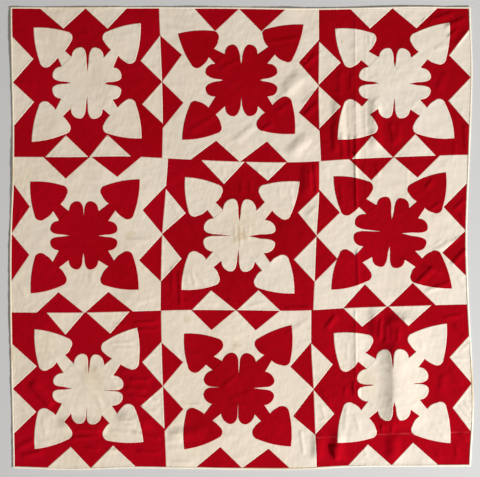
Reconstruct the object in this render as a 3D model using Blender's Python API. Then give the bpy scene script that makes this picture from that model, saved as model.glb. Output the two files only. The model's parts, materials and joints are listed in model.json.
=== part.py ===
# A tivaevae quilt of nine blocks, lying face up on a flat surface.
# Metres, +Z up, +Y towards the quilt's top edge. The origin is under the middle of the quilt, at z = 0.
# Each block is a square of plain cotton that carries an eight-petal centre and four hearts on stems.

import math

import bmesh
import bpy
from mathutils import Matrix, Vector

# Thicknesses, and the gap between neighbouring pieces
GROUND_THICKNESS = 0.0016
APPLIQUE_THICKNESS = 0.0010
BINDING_THICKNESS = 0.0030
GAP = 0.0003

# The outline: where each edge stands at nine even stations along its side
HALF_SPAN = 1.04
STATION_STEP = 0.26
LEFT_EDGE_X = (-1.059, -1.055, -1.050, -1.051, -1.061, -1.062, -1.058, -1.052, -1.047)
RIGHT_EDGE_X = (1.048, 1.057, 1.050, 1.040, 1.032, 1.039, 1.053, 1.062, 1.050)
TOP_EDGE_Y = (1.059, 1.059, 1.060, 1.059, 1.058, 1.054, 1.056, 1.061, 1.059)
BOTTOM_EDGE_Y = (-1.053, -1.061, -1.054, -1.056, -1.060, -1.060, -1.048, -1.046, -1.045)
UPPER_SEAM_Y = (0.372, 0.371, 0.374, 0.361, 0.350, 0.348, 0.363, 0.374, 0.382)
LOWER_SEAM_Y = (-0.340, -0.341, -0.336, -0.329, -0.330, -0.332, -0.318, -0.310, -0.303)

# The two seams between columns, at five even stations down each row
COLUMN_SEAMS_X = (
    {"left": (-0.378, -0.371, -0.364, -0.361, -0.364), "right": (0.354, 0.354, 0.352, 0.355, 0.363)},
    {"left": (-0.337, -0.350, -0.364, -0.369, -0.371), "right": (0.355, 0.354, 0.343, 0.336, 0.328)},
    {"left": (-0.369, -0.366, -0.360, -0.353, -0.346), "right": (0.319, 0.319, 0.329, 0.336, 0.344)},
)

BINDING_WIDTH = 0.0075
CORNER_RADIUS = 0.0050
BINDING_BEVEL = 0.0008
LINE_STEP = 0.065
COLUMN_SEAM_STEPS = 8

# The curves' steps, and the stems where they leave the centre
PETAL_STEPS = 4
LOBE_STEPS = 5
BACK_STEPS = 2
SIDE_STEPS = 3
ROOT_DISTANCE = 0.1326
STEM_ROOT_HALF_WIDTH = 0.0308
STEM_ROOT_MARGIN = 0.0008

# Each block's eight-petal centre: its middle, its turn in degrees (clockwise is positive), how far a
# petal's tip is from its pair's middle line, the length of its curve down into the slot, the notches
# where the stems run in, and how square its outer and inner curves are (2 is a true ellipse)
CENTRE_COLUMNS = ("row", "column", "ground", "middle", "turn", "tip_across", "inner_cap", "notch_along",
                  "notch_across", "outer_power", "inner_power")
CENTRE_ROWS = (
    (1, 1, "red", (-0.707, 0.710), 1.0, 0.0310, 0.0595, 0.1210, 0.0725, 2.1, 2.2),
    (1, 2, "cream", (-0.001, 0.723), -0.2, 0.0350, 0.0635, 0.1215, 0.0745, 2.3, 1.8),
    (1, 3, "red", (0.700, 0.709), 0.9, 0.0320, 0.0620, 0.1240, 0.0715, 1.9, 2.4),
    (2, 1, "cream", (-0.723, 0.011), 0.3, 0.0305, 0.0495, 0.1165, 0.0670, 2.0, 2.2),
    (2, 2, "red", (-0.013, 0.011), 1.8, 0.0325, 0.0680, 0.1170, 0.0760, 2.0, 2.5),
    (2, 3, "cream", (0.683, 0.026), 4.8, 0.0325, 0.0665, 0.1220, 0.0740, 2.2, 2.4),
    (3, 1, "red", (-0.705, -0.692), 2.8, 0.0315, 0.0450, 0.1180, 0.0685, 1.9, 2.6),
    (3, 2, "cream", (-0.014, -0.685), 1.4, 0.0345, 0.0390, 0.1210, 0.0765, 1.7, 2.0),
    (3, 3, "red", (0.694, -0.669), -2.1, 0.0320, 0.0595, 0.1185, 0.0740, 2.0, 2.5),
)

# The pair of petals on each side: how far it reaches, how near the middle its slot runs, and half the
# slot's width where it begins to narrow
PAIR_COLUMNS = ("right", "top", "left", "bottom")
PAIR_ROWS = (
    ((0.156, 0.080, 0.0065), (0.163, 0.052, 0.0055), (0.159, 0.073, 0.0050), (0.163, 0.057, 0.0040)),
    ((0.165, 0.086, 0.0060), (0.163, 0.074, 0.0045), (0.164, 0.083, 0.0045), (0.165, 0.079, 0.0020)),
    ((0.166, 0.069, 0.0070), (0.161, 0.073, 0.0055), (0.163, 0.071, 0.0065), (0.160, 0.065, 0.0035)),
    ((0.155, 0.068, 0.0055), (0.158, 0.092, 0.0015), (0.153, 0.064, 0.0055), (0.155, 0.079, 0.0045)),
    ((0.167, 0.046, 0.0100), (0.168, 0.066, 0.0055), (0.161, 0.038, 0.0035), (0.164, 0.063, 0.0040)),
    ((0.167, 0.050, 0.0080), (0.161, 0.060, 0.0060), (0.168, 0.043, 0.0030), (0.161, 0.065, 0.0050)),
    ((0.162, 0.074, 0.0020), (0.161, 0.072, 0.0045), (0.159, 0.073, 0.0070), (0.158, 0.071, 0.0015)),
    ((0.164, 0.068, 0.0060), (0.160, 0.063, 0.0035), (0.160, 0.082, 0.0015), (0.167, 0.061, 0.0015)),
    ((0.161, 0.090, 0.0015), (0.161, 0.073, 0.0040), (0.164, 0.087, 0.0030), (0.165, 0.081, 0.0070)),
)

# Each heart: its tip from the block's middle, then, from where its stem leaves the centre, the places
# (along, across) of its left and right lobes, their radius, where the stem meets the heart, the stem's
# half-widths on its left and right, and how far its sides and its back swell
HEART_NAMES = ("upper_left", "upper_right", "lower_right", "lower_left")
HEART_COLUMNS = ("tip", "left_lobe", "right_lobe", "lobe_radius", "back", "stem_half_widths", "swells")
HEART_ROWS = (
    # Upper left block
    (
        ((-0.245, 0.254), (0.070, 0.067), (0.083, 0.075), 0.028, 0.044, (0.016, 0.029), (0.0065, 0.0010)),
        ((0.245, 0.274), (0.092, 0.070), (0.083, 0.061), 0.029, 0.055, (0.028, 0.015), (0.0070, 0.0020)),
        ((0.249, -0.253), (0.076, 0.069), (0.082, 0.071), 0.028, 0.046, (0.021, 0.028), (0.0070, 0.0025)),
        ((-0.254, -0.269), (0.090, 0.069), (0.080, 0.061), 0.028, 0.055, (0.028, 0.016), (0.0070, 0.0015)),
    ),
    # Upper middle block
    (
        ((-0.290, 0.213), (0.088, 0.065), (0.086, 0.069), 0.029, 0.053, (0.019, 0.027), (0.0070, 0.0040)),
        ((0.285, 0.255), (0.095, 0.075), (0.098, 0.070), 0.022, 0.061, (0.026, 0.021), (0.0070, 0.0055)),
        ((0.246, -0.246), (0.084, 0.066), (0.081, 0.071), 0.032, 0.049, (0.020, 0.030), (0.0060, 0.0025)),
        ((-0.271, -0.273), (0.103, 0.072), (0.101, 0.066), 0.025, 0.062, (0.028, 0.018), (0.0085, 0.0045)),
    ),
    # Upper right block
    (
        ((-0.272, 0.250), (0.089, 0.069), (0.086, 0.069), 0.029, 0.054, (0.031, 0.021), (0.0085, 0.0035)),
        ((0.252, 0.278), (0.087, 0.067), (0.090, 0.071), 0.029, 0.050, (0.022, 0.031), (0.0070, 0.0035)),
        ((0.273, -0.251), (0.088, 0.069), (0.087, 0.069), 0.029, 0.054, (0.024, 0.025), (0.0095, 0.0035)),
        ((-0.260, -0.258), (0.087, 0.071), (0.083, 0.070), 0.029, 0.049, (0.022, 0.028), (0.0080, 0.0025)),
    ),
    # Middle left block
    (
        ((-0.244, 0.247), (0.075, 0.072), (0.083, 0.071), 0.028, 0.045, (0.020, 0.026), (0.0070, 0.0035)),
        ((0.257, 0.258), (0.085, 0.069), (0.082, 0.070), 0.028, 0.053, (0.023, 0.021), (0.0075, 0.0035)),
        ((0.252, -0.247), (0.079, 0.070), (0.082, 0.069), 0.028, 0.047, (0.018, 0.020), (0.0070, 0.0040)),
        ((-0.242, -0.264), (0.089, 0.061), (0.078, 0.067), 0.029, 0.051, (0.021, 0.018), (0.0070, 0.0030)),
    ),
    # Middle block
    (
        ((-0.246, 0.268), (0.089, 0.070), (0.089, 0.066), 0.028, 0.053, (0.025, 0.026), (0.0070, 0.0045)),
        ((0.278, 0.248), (0.092, 0.072), (0.093, 0.066), 0.028, 0.059, (0.033, 0.018), (0.0070, 0.0030)),
        ((0.254, -0.264), (0.091, 0.064), (0.088, 0.074), 0.030, 0.056, (0.019, 0.033), (0.0070, 0.0045)),
        ((-0.262, -0.247), (0.089, 0.064), (0.085, 0.067), 0.030, 0.051, (0.025, 0.023), (0.0075, 0.0045)),
    ),
    # Middle right block
    (
        ((-0.262, 0.257), (0.090, 0.073), (0.087, 0.063), 0.029, 0.054, (0.028, 0.022), (0.0080, 0.0020)),
        ((0.253, 0.276), (0.088, 0.067), (0.090, 0.066), 0.028, 0.055, (0.021, 0.027), (0.0090, 0.0035)),
        ((0.281, -0.257), (0.098, 0.067), (0.089, 0.061), 0.028, 0.057, (0.023, 0.027), (0.0070, 0.0040)),
        ((-0.272, -0.262), (0.089, 0.067), (0.088, 0.063), 0.028, 0.057, (0.016, 0.031), (0.0095, 0.0020)),
    ),
    # Lower left block
    (
        ((-0.243, 0.275), (0.082, 0.071), (0.089, 0.064), 0.028, 0.055, (0.023, 0.028), (0.0070, 0.0045)),
        ((0.226, 0.282), (0.082, 0.062), (0.085, 0.071), 0.030, 0.051, (0.018, 0.030), (0.0070, 0.0020)),
        ((0.255, -0.241), (0.074, 0.063), (0.078, 0.073), 0.032, 0.045, (0.019, 0.036), (0.0060, 0.0020)),
        ((-0.242, -0.273), (0.090, 0.067), (0.084, 0.063), 0.030, 0.052, (0.030, 0.020), (0.0070, 0.0020)),
    ),
    # Lower middle block
    (
        ((-0.249, 0.248), (0.081, 0.072), (0.076, 0.064), 0.032, 0.048, (0.033, 0.019), (0.0075, 0.0015)),
        ((0.243, 0.287), (0.090, 0.061), (0.098, 0.069), 0.028, 0.060, (0.018, 0.025), (0.0070, 0.0045)),
        ((0.240, -0.269), (0.086, 0.069), (0.085, 0.067), 0.033, 0.051, (0.026, 0.028), (0.0070, 0.0025)),
        ((-0.248, -0.282), (0.091, 0.064), (0.095, 0.072), 0.029, 0.060, (0.019, 0.030), (0.0080, 0.0020)),
    ),
    # Lower right block
    (
        ((-0.272, 0.234), (0.090, 0.080), (0.087, 0.070), 0.028, 0.059, (0.030, 0.023), (0.0065, 0.0045)),
        ((0.245, 0.278), (0.085, 0.069), (0.085, 0.073), 0.028, 0.050, (0.023, 0.028), (0.0065, 0.0025)),
        ((0.262, -0.269), (0.093, 0.075), (0.094, 0.069), 0.028, 0.056, (0.027, 0.020), (0.0065, 0.0055)),
        ((-0.256, -0.266), (0.096, 0.076), (0.087, 0.070), 0.028, 0.056, (0.026, 0.025), (0.0070, 0.0045)),
    ),
)


def block_facts(centre, pairs, hearts):
    block = dict(zip(CENTRE_COLUMNS + PAIR_COLUMNS, centre + pairs))
    for corner, heart in zip(HEART_NAMES, hearts):
        block[corner] = dict(zip(HEART_COLUMNS, heart))
    return block


BLOCKS = [block_facts(*rows) for rows in zip(CENTRE_ROWS, PAIR_ROWS, HEART_ROWS)]

# The main folds, which stand up from the surface: where each crest runs, its height and its half-width
FOLD_COLUMNS = ("start", "end", "height", "half_width")
FOLD_ROWS = (
    # The tall fold through the lower right block, and the ripples above and below it
    ((0.690, -0.340), (0.686, -0.880), 0.012, 0.056),
    ((0.610, -0.300), (0.620, -0.490), 0.007, 0.044),
    ((0.697, -0.880), (0.692, -1.035), 0.008, 0.044),
    ((0.352, -0.880), (0.346, -1.035), 0.008, 0.042),
    ((0.444, -0.860), (0.438, -1.035), 0.008, 0.042),
    # The long storage crease down the right column, and the ripples beside it
    ((0.526, 1.020), (0.526, 0.170), 0.006, 0.042),
    ((0.526, -0.360), (0.528, -0.680), 0.006, 0.042),
    ((0.442, 0.660), (0.448, 0.390), 0.007, 0.042),
    ((0.610, 0.660), (0.616, 0.390), 0.007, 0.042),
    # Slanting folds in the top row and beside the middle block
    ((0.180, 0.650), (0.290, 0.775), 0.008, 0.044),
    ((0.205, 0.365), (0.325, 0.480), 0.008, 0.044),
    ((0.302, 0.350), (0.296, 0.170), 0.007, 0.042),
    # Level wrinkles in the lower left and lower middle blocks
    ((-0.850, -0.845), (-0.600, -0.868), 0.008, 0.044),
    ((-0.580, -0.800), (-0.400, -0.872), 0.007, 0.044),
    ((-0.345, -0.900), (-0.150, -0.890), 0.007, 0.044),
)
FOLDS = [dict(zip(FOLD_COLUMNS, row)) for row in FOLD_ROWS]
FOLD_TAPER = 0.060
FOLD_CELL = 0.024
SHORTEST_EDGE = 0.00005

# Each block's laid-on pieces are in the other colour than its ground
FACES_OF = {"red": "cream", "cream": "red"}
COLOURS = {"red": (0.46, 0.004, 0.013), "cream": (0.76, 0.67, 0.55), "binding": (0.78, 0.70, 0.55)}


def clear_scene():
    for thing in list(bpy.data.objects):
        bpy.data.objects.remove(thing, do_unlink=True)


def cotton(name):
    material = bpy.data.materials.new(name + "_cotton")
    material.use_nodes = True
    shader = material.node_tree.nodes["Principled BSDF"]
    shader.inputs["Base Color"].default_value = (*COLOURS[name], 1.0)
    shader.inputs["Roughness"].default_value = 0.9
    shader.inputs["Metallic"].default_value = 0.0
    material.diffuse_color = (*COLOURS[name], 1.0)
    return material


# Smooth curves through evenly spaced stations


def through(values, position):
    """The value at a position counted in stations, on a Catmull-Rom curve through the values."""
    last = len(values) - 1
    index = min(max(int(math.floor(position)), 0), last - 1)
    t = min(max(position - index, 0.0), 1.0)
    before = values[max(index - 1, 0)]
    start = values[index]
    end = values[index + 1]
    after = values[min(index + 2, last)]
    bend = 2.0 * before - 5.0 * start + 4.0 * end - after
    twist = 3.0 * start - before - 3.0 * end + after
    return 0.5 * (2.0 * start + (end - before) * t + bend * t * t + twist * t ** 3)


def along_edge(values, place):
    """An edge's value at a place on its side: straight runs between points LINE_STEP apart on a curve."""
    per_station = STATION_STEP / LINE_STEP
    position = (place + HALF_SPAN) / LINE_STEP
    index = math.floor(position)
    start = through(values, index / per_station)
    end = through(values, (index + 1) / per_station)
    return start + (end - start) * (position - index)


def places_between(start, end):
    """The places where the edges' straight runs meet, strictly between two places."""
    first = math.floor((min(start, end) + HALF_SPAN) / LINE_STEP) + 1
    last = math.ceil((max(start, end) + HALF_SPAN) / LINE_STEP) - 1
    places = [index * LINE_STEP - HALF_SPAN for index in range(first, last + 1)]
    return places if start < end else places[::-1]


def outer_x(column_seam, y):
    """The quilt's left edge (column seam 0) or right edge (column seam 3) at a height."""
    return along_edge((LEFT_EDGE_X if column_seam == 0 else RIGHT_EDGE_X)[::-1], y)


def outer_y(row_seam, x):
    """The quilt's top edge (row seam 0) or bottom edge (row seam 3) at x."""
    return along_edge(TOP_EDGE_Y if row_seam == 0 else BOTTOM_EDGE_Y, x)


def row_seam_y(row_seam, x):
    """The height of row seam 0 (top), 1, 2 or 3 (bottom) at x, inside the binding."""
    if row_seam == 0:
        return outer_y(0, x) - BINDING_WIDTH
    if row_seam == 3:
        return outer_y(3, x) + BINDING_WIDTH
    return along_edge((UPPER_SEAM_Y, LOWER_SEAM_Y)[row_seam - 1], x)


def side_seam_x(column_seam, y):
    """Where the blocks end on the left (column seam 0) or right (column seam 3), inside the binding."""
    return outer_x(column_seam, y) + (BINDING_WIDTH if column_seam == 0 else -BINDING_WIDTH)


def block_corner(row, column_seam, row_seam):
    """Where a column seam of a row meets the row seam above or below it."""
    if column_seam in (0, 3):
        y = 0.0
        for attempt in range(4):
            x = side_seam_x(column_seam, y)
            y = row_seam_y(row_seam, x)
        return x, y
    values = COLUMN_SEAMS_X[row - 1][("left", "right")[column_seam - 1]]
    x = values[0] if row_seam == row - 1 else values[-1]
    return x, row_seam_y(row_seam, x)


def column_seam_line(row, column_seam):
    """The points of a column seam down a row, its two corners included."""
    top = block_corner(row, column_seam, row - 1)
    foot = block_corner(row, column_seam, row)
    if column_seam in (0, 3):
        between = [(side_seam_x(column_seam, y), y) for y in places_between(top[1], foot[1])]
        return [top] + between + [foot]
    values = COLUMN_SEAMS_X[row - 1][("left", "right")[column_seam - 1]]
    line = [top]
    for step in range(1, COLUMN_SEAM_STEPS):
        down = step / COLUMN_SEAM_STEPS
        line.append((through(values, down * (len(values) - 1)), top[1] + (foot[1] - top[1]) * down))
    return line + [foot]


def row_seam_line(row_seam, start, end):
    """The points of a row seam from one x to another, both ends included."""
    return [(x, row_seam_y(row_seam, x)) for x in [start] + places_between(start, end) + [end]]


# Outlines, each a list of flat points in order


def block_outline(row, column):
    """A block's four sides, drawn in by half a gap."""
    left = column_seam_line(row, column - 1)
    right = column_seam_line(row, column)
    top = row_seam_line(row - 1, left[0][0], right[0][0])
    foot = row_seam_line(row, left[-1][0], right[-1][0])
    inset = GAP / 2.0
    outline = [(left[-1][0] + inset, left[-1][1] + inset)]
    outline += [(x, y + inset) for x, y in foot[1:-1]]
    outline.append((right[-1][0] - inset, right[-1][1] + inset))
    outline += [(x - inset, y) for x, y in right[-2:0:-1]]
    outline.append((right[0][0] - inset, right[0][1] - inset))
    outline += [(x, y - inset) for x, y in top[-2:0:-1]]
    outline.append((left[0][0] + inset, left[0][1] - inset))
    outline += [(x + inset, y) for x, y in left[1:-1]]
    return outline


def centre_outline(block):
    """Four pairs of rounded petals, each pair parted by a slot that narrows to a point."""
    tip, cap = block["tip_across"], block["inner_cap"]
    notch_along, notch_across = block["notch_along"], block["notch_across"]
    outline = []
    for quarter, side in enumerate(PAIR_COLUMNS):
        reach, slot_end, mouth = block[side]
        angle = math.radians(90.0 * quarter - block["turn"])
        half = []
        for step in range(PETAL_STEPS + 1):
            bend = math.radians(90.0 * step / PETAL_STEPS)
            along = math.sin(bend) ** (2.0 / block["outer_power"])
            across = abs(math.cos(bend)) ** (2.0 / block["outer_power"])
            half.append((notch_along + (reach - notch_along) * along, -tip - (notch_across - tip) * across))
        for step in range(1, PETAL_STEPS + 1):
            bend = math.radians(90.0 * step / PETAL_STEPS)
            along = abs(math.cos(bend)) ** (2.0 / block["inner_power"])
            across = math.sin(bend) ** (2.0 / block["inner_power"])
            half.append((reach - cap + cap * along, (tip - mouth) * across - tip))
        pair = half + [(slot_end, 0.0)] + [(along, -across) for along, across in reversed(half)]
        for along, across in pair:
            outline.append((block["middle"][0] + along * math.cos(angle) - across * math.sin(angle),
                            block["middle"][1] + along * math.sin(angle) + across * math.cos(angle)))
    return outline


def swollen(start, end, way, swell, steps):
    """The points strictly between two others, on a curve that swells out in the way given."""
    points = []
    for step in range(1, steps):
        t = step / steps
        out = 4.0 * swell * t * (1.0 - t)
        points.append((start[0] + (end[0] - start[0]) * t + way[0] * out,
                       start[1] + (end[1] - start[1]) * t + way[1] * out))
    return points


def heart_half(heart, lobe, stem_half_width, length):
    """One half of a heart from the stem to the tip, as (along, across) from its root."""
    lobe_along, lobe_across = lobe
    radius = heart["lobe_radius"]
    side_swell, back_swell = heart["swells"]
    slope = math.atan2(lobe_across, length - lobe_along)
    slope += math.asin(radius / math.hypot(length - lobe_along, lobe_across))
    back = (heart["back"] - lobe_along, stem_half_width - lobe_across)
    first_bend = math.atan2(back[1], back[0]) % (2.0 * math.pi) - math.acos(min(radius / math.hypot(*back), 1.0))
    last_bend = math.pi / 2.0 - slope
    arc = []
    for step in range(LOBE_STEPS + 1):
        bend = first_bend + (last_bend - first_bend) * step / LOBE_STEPS
        arc.append((lobe_along + radius * math.cos(bend), lobe_across + radius * math.sin(bend)))
    corner = (heart["back"], stem_half_width)
    points = [corner]
    points += swollen(corner, arc[0], (math.cos(first_bend), math.sin(first_bend)), back_swell, BACK_STEPS)
    points += arc
    return points + swollen(arc[-1], (length, 0.0), (math.sin(slope), math.cos(slope)), side_swell, SIDE_STEPS)


def heart_frame(block, corner):
    """The way out along the block's diagonal, the heart's root, the way along it and its length."""
    tip = Vector(block[corner]["tip"])
    diagonal = Vector((math.copysign(1.0, tip.x), math.copysign(1.0, tip.y))).normalized()
    diagonal.rotate(Matrix.Rotation(math.radians(-block["turn"]), 2))
    root = diagonal * ROOT_DISTANCE
    return diagonal, root, (tip - root).normalized(), (tip - root).length


def heart_outline(block, corner):
    """A heart with its stem, laid from the middle of the centre's slanting edge to the heart's tip."""
    heart = block[corner]
    diagonal, root, along_way, length = heart_frame(block, corner)
    edge_way = Vector((-diagonal.y, diagonal.x))
    across_way = Vector((-along_way.y, along_way.x))
    edge_distance = (block["notch_along"] + block["notch_across"]) / math.sqrt(2.0)
    edge_half = (block["notch_along"] - block["notch_across"]) / math.sqrt(2.0)
    half_width = min(STEM_ROOT_HALF_WIDTH, edge_half - STEM_ROOT_MARGIN)
    left = [diagonal * (edge_distance + GAP) + edge_way * half_width]
    right = [diagonal * (edge_distance + GAP) - edge_way * half_width]
    for lobe, stem_half_width, side, way in (
            (heart["left_lobe"], heart["stem_half_widths"][0], left, 1.0),
            (heart["right_lobe"], heart["stem_half_widths"][1], right, -1.0)):
        for along, across in heart_half(heart, lobe, stem_half_width, length):
            side.append(root + along_way * along + across_way * across * way)
    middle = Vector(block["middle"])
    return [tuple(middle + point) for point in left + [Vector(heart["tip"])] + right[::-1]]


def rounded_corner(corner, inward_x, inward_y):
    """Four points round a corner, from its upright side to its level side."""
    centre = (corner[0] + inward_x * CORNER_RADIUS, corner[1] + inward_y * CORNER_RADIUS)
    points = []
    for degrees in (0.0, 30.0, 60.0, 90.0):
        bend = math.radians(degrees)
        points.append((centre[0] - inward_x * CORNER_RADIUS * math.cos(bend),
                       centre[1] - inward_y * CORNER_RADIUS * math.sin(bend)))
    return points


def level_binding_outline(row_seam):
    """The top or bottom strip, which runs the whole width and has the rounded corners."""
    inward = -1.0 if row_seam == 0 else 1.0
    left = outer_x(0, -inward * HALF_SPAN)
    right = outer_x(3, -inward * HALF_SPAN)
    outline = rounded_corner((left, outer_y(row_seam, left)), 1.0, inward)
    outline += [(x, outer_y(row_seam, x)) for x in places_between(left, right)
                if left + CORNER_RADIUS < x < right - CORNER_RADIUS]
    outline += rounded_corner((right, outer_y(row_seam, right)), -1.0, inward)[::-1]
    outline += [(x, y - inward * GAP / 2.0) for x, y in row_seam_line(row_seam, right, left)]
    return outline


def upright_binding_outline(column_seam):
    """The left or right strip, which stops short of the top and bottom strips."""
    inward = 1.0 if column_seam == 0 else -1.0
    top = block_corner(1, column_seam, 0)
    foot = block_corner(3, column_seam, 3)
    outside = outer_x(column_seam, top[1])
    outline = [(outside, row_seam_y(0, outside) - GAP / 2.0)]
    outline += [(outer_x(column_seam, y), y) for y in places_between(top[1], foot[1])]
    outside = outer_x(column_seam, foot[1])
    outline.append((outside, row_seam_y(3, outside) + GAP / 2.0))
    outline.append((foot[0] - inward * GAP / 2.0, foot[1] + GAP / 2.0))
    outline += [(side_seam_x(column_seam, y) - inward * GAP / 2.0, y)
                for y in places_between(foot[1], top[1])]
    outline.append((top[0] - inward * GAP / 2.0, top[1] - GAP / 2.0))
    return outline


# Folds: one shared surface of flat triangles, which every layer follows


def fold_height(x, y):
    """How far the cloth stands up from the surface at a point, from the table of folds."""
    height = 0.0
    for fold in FOLDS:
        start = Vector(fold["start"])
        run = Vector(fold["end"]) - start
        offset = Vector((x, y)) - start
        along = offset.dot(run.normalized())
        across = abs(offset.cross(run.normalized()))
        if across >= fold["half_width"] or along <= 0.0 or along >= run.length:
            continue
        taper = min(along, run.length - along, FOLD_TAPER) / FOLD_TAPER
        profile = math.cos(0.5 * math.pi * across / fold["half_width"]) ** 2
        height += fold["height"] * profile * taper * taper * (3.0 - 2.0 * taper)
    return height


class FoldedSurface:
    """The fold heights on an even grid, with each cell parted along its diagonal."""

    def __init__(self):
        self.known = {}

    def node(self, i, j):
        if (i, j) not in self.known:
            self.known[i, j] = fold_height(i * FOLD_CELL, j * FOLD_CELL)
        return self.known[i, j]

    def height(self, x, y):
        i = math.floor(x / FOLD_CELL)
        j = math.floor(y / FOLD_CELL)
        u = x / FOLD_CELL - i
        v = y / FOLD_CELL - j
        right = self.node(i + 1, j)
        upper = self.node(i, j + 1)
        if u + v <= 1.0:
            corner = self.node(i, j)
            return corner + u * (right - corner) + v * (upper - corner)
        corner = self.node(i + 1, j + 1)
        return corner + (1.0 - u) * (upper - corner) + (1.0 - v) * (right - corner)

    def raised(self, low, high):
        """The grid's raised points inside a box, each as a pair of whole numbers."""
        columns = range(math.floor(low.x / FOLD_CELL), math.ceil(high.x / FOLD_CELL) + 1)
        rows = range(math.floor(low.y / FOLD_CELL), math.ceil(high.y / FOLD_CELL) + 1)
        return [(i, j) for i in columns for j in rows if self.node(i, j) > 0.0]


SURFACE = FoldedSurface()


def cut_along_grid(bm):
    """Part a flat mesh along the grid's upright, level and slanting lines, wherever a fold is near."""
    low = Vector([min(vert.co[axis] for vert in bm.verts) for axis in range(3)])
    high = Vector([max(vert.co[axis] for vert in bm.verts) for axis in range(3)])
    raised = SURFACE.raised(low, high)
    near = (-1, 0, 1)
    uprights = {i + step for i, j in raised for step in near}
    levels = {j + step for i, j in raised for step in near}
    slants = {i + j + step for i, j in raised for step in near}
    cuts = [((i * FOLD_CELL, 0.0, 0.0), (1.0, 0.0, 0.0)) for i in sorted(uprights)]
    cuts += [((0.0, j * FOLD_CELL, 0.0), (0.0, 1.0, 0.0)) for j in sorted(levels)]
    cuts += [((k * FOLD_CELL, 0.0, 0.0), (1.0, 1.0, 0.0)) for k in sorted(slants)]
    for place, way in cuts:
        geometry = bm.verts[:] + bm.edges[:] + bm.faces[:]
        bmesh.ops.bisect_plane(bm, geom=geometry, dist=1e-6, plane_co=place, plane_no=way)
    bmesh.ops.remove_doubles(bm, verts=bm.verts[:], dist=SHORTEST_EDGE)


def solid_from_outline(name, outline, low, thickness, material, bevel=0.0):
    """A flat piece with its outline, laid over the folds at a height above the surface."""
    bm = bmesh.new()
    bm.faces.new([bm.verts.new((x, y, 0.0)) for x, y in outline])
    cut_along_grid(bm)
    for vert in bm.verts:
        vert.co.z = SURFACE.height(vert.co.x, vert.co.y) + low
    raised = bmesh.ops.extrude_face_region(bm, geom=bm.faces[:])["geom"]
    top = [item for item in raised if isinstance(item, bmesh.types.BMVert)]
    bmesh.ops.translate(bm, verts=top, vec=(0.0, 0.0, thickness))
    if bevel > 0.0:
        top_verts = set(top)
        rim = [edge for edge in bm.edges if set(edge.verts) <= top_verts]
        bmesh.ops.bevel(bm, geom=rim, offset=bevel, offset_type="OFFSET", segments=1, profile=0.5,
                        affect="EDGES")
    bmesh.ops.recalc_face_normals(bm, faces=bm.faces[:])
    mesh = bpy.data.meshes.new(name)
    bm.to_mesh(mesh)
    bm.free()
    mesh.materials.append(material)
    piece = bpy.data.objects.new(name, mesh)
    bpy.context.scene.collection.objects.link(piece)
    return piece


def build_block(block, cottons):
    place = "r{row}c{column}".format(**block)
    applique_low = GROUND_THICKNESS + GAP
    face = cottons[FACES_OF[block["ground"]]]
    solid_from_outline("ground_" + place, block_outline(block["row"], block["column"]), 0.0,
                       GROUND_THICKNESS, cottons[block["ground"]])
    solid_from_outline("centre_" + place, centre_outline(block), applique_low, APPLIQUE_THICKNESS, face)
    for corner in HEART_NAMES:
        solid_from_outline("heart_" + place + "_" + corner, heart_outline(block, corner), applique_low,
                           APPLIQUE_THICKNESS, face)


def build_binding(material):
    outlines = {
        "top": level_binding_outline(0),
        "bottom": level_binding_outline(3),
        "left": upright_binding_outline(0),
        "right": upright_binding_outline(3),
    }
    for side, outline in outlines.items():
        solid_from_outline("binding_" + side, outline, 0.0, BINDING_THICKNESS, material, BINDING_BEVEL)


def main():
    clear_scene()
    cottons = {name: cotton(name) for name in COLOURS}
    for block in BLOCKS:
        build_block(block, cottons)
    build_binding(cottons["binding"])


main()
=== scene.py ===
# The looks of the tivaevae quilt: pieced and laid-on cotton, its sewing, its folds and its age.
# Metres, +Z up, the same frame as the solids. The quilt lies face up on a flat surface at z = 0.

import json
import math
import random

import bpy
import numpy as np
from mathutils import Matrix, Vector
from mathutils.bvhtree import BVHTree
from mathutils.geometry import delaunay_2d_cdt

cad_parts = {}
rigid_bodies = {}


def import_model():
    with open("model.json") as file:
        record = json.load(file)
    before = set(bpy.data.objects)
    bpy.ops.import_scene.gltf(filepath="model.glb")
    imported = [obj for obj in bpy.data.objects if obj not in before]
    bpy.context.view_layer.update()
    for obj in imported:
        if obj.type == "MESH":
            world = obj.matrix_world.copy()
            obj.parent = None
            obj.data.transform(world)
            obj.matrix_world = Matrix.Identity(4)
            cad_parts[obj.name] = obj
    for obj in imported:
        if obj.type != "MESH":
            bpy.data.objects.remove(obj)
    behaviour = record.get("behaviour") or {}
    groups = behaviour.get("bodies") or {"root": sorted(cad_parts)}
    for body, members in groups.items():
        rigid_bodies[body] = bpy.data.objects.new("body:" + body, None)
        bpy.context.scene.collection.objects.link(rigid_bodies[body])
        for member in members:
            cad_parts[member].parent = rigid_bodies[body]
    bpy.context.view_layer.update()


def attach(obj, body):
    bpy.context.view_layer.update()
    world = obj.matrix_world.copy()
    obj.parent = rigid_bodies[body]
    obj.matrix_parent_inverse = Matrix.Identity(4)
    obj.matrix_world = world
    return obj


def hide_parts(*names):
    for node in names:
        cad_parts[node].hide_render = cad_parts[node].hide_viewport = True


# The outline: where each edge stands at nine even stations along its side
HALF_SPAN = 1.04
STATION_STEP = 0.26
LEFT_EDGE_X = (-1.059, -1.055, -1.050, -1.051, -1.061, -1.062, -1.058, -1.052, -1.047)
RIGHT_EDGE_X = (1.048, 1.057, 1.050, 1.040, 1.032, 1.039, 1.053, 1.062, 1.050)
TOP_EDGE_Y = (1.059, 1.059, 1.060, 1.059, 1.058, 1.054, 1.056, 1.061, 1.059)
BOTTOM_EDGE_Y = (-1.053, -1.061, -1.054, -1.056, -1.060, -1.060, -1.048, -1.046, -1.045)
UPPER_SEAM_Y = (0.372, 0.371, 0.374, 0.361, 0.350, 0.348, 0.363, 0.374, 0.382)
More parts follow.
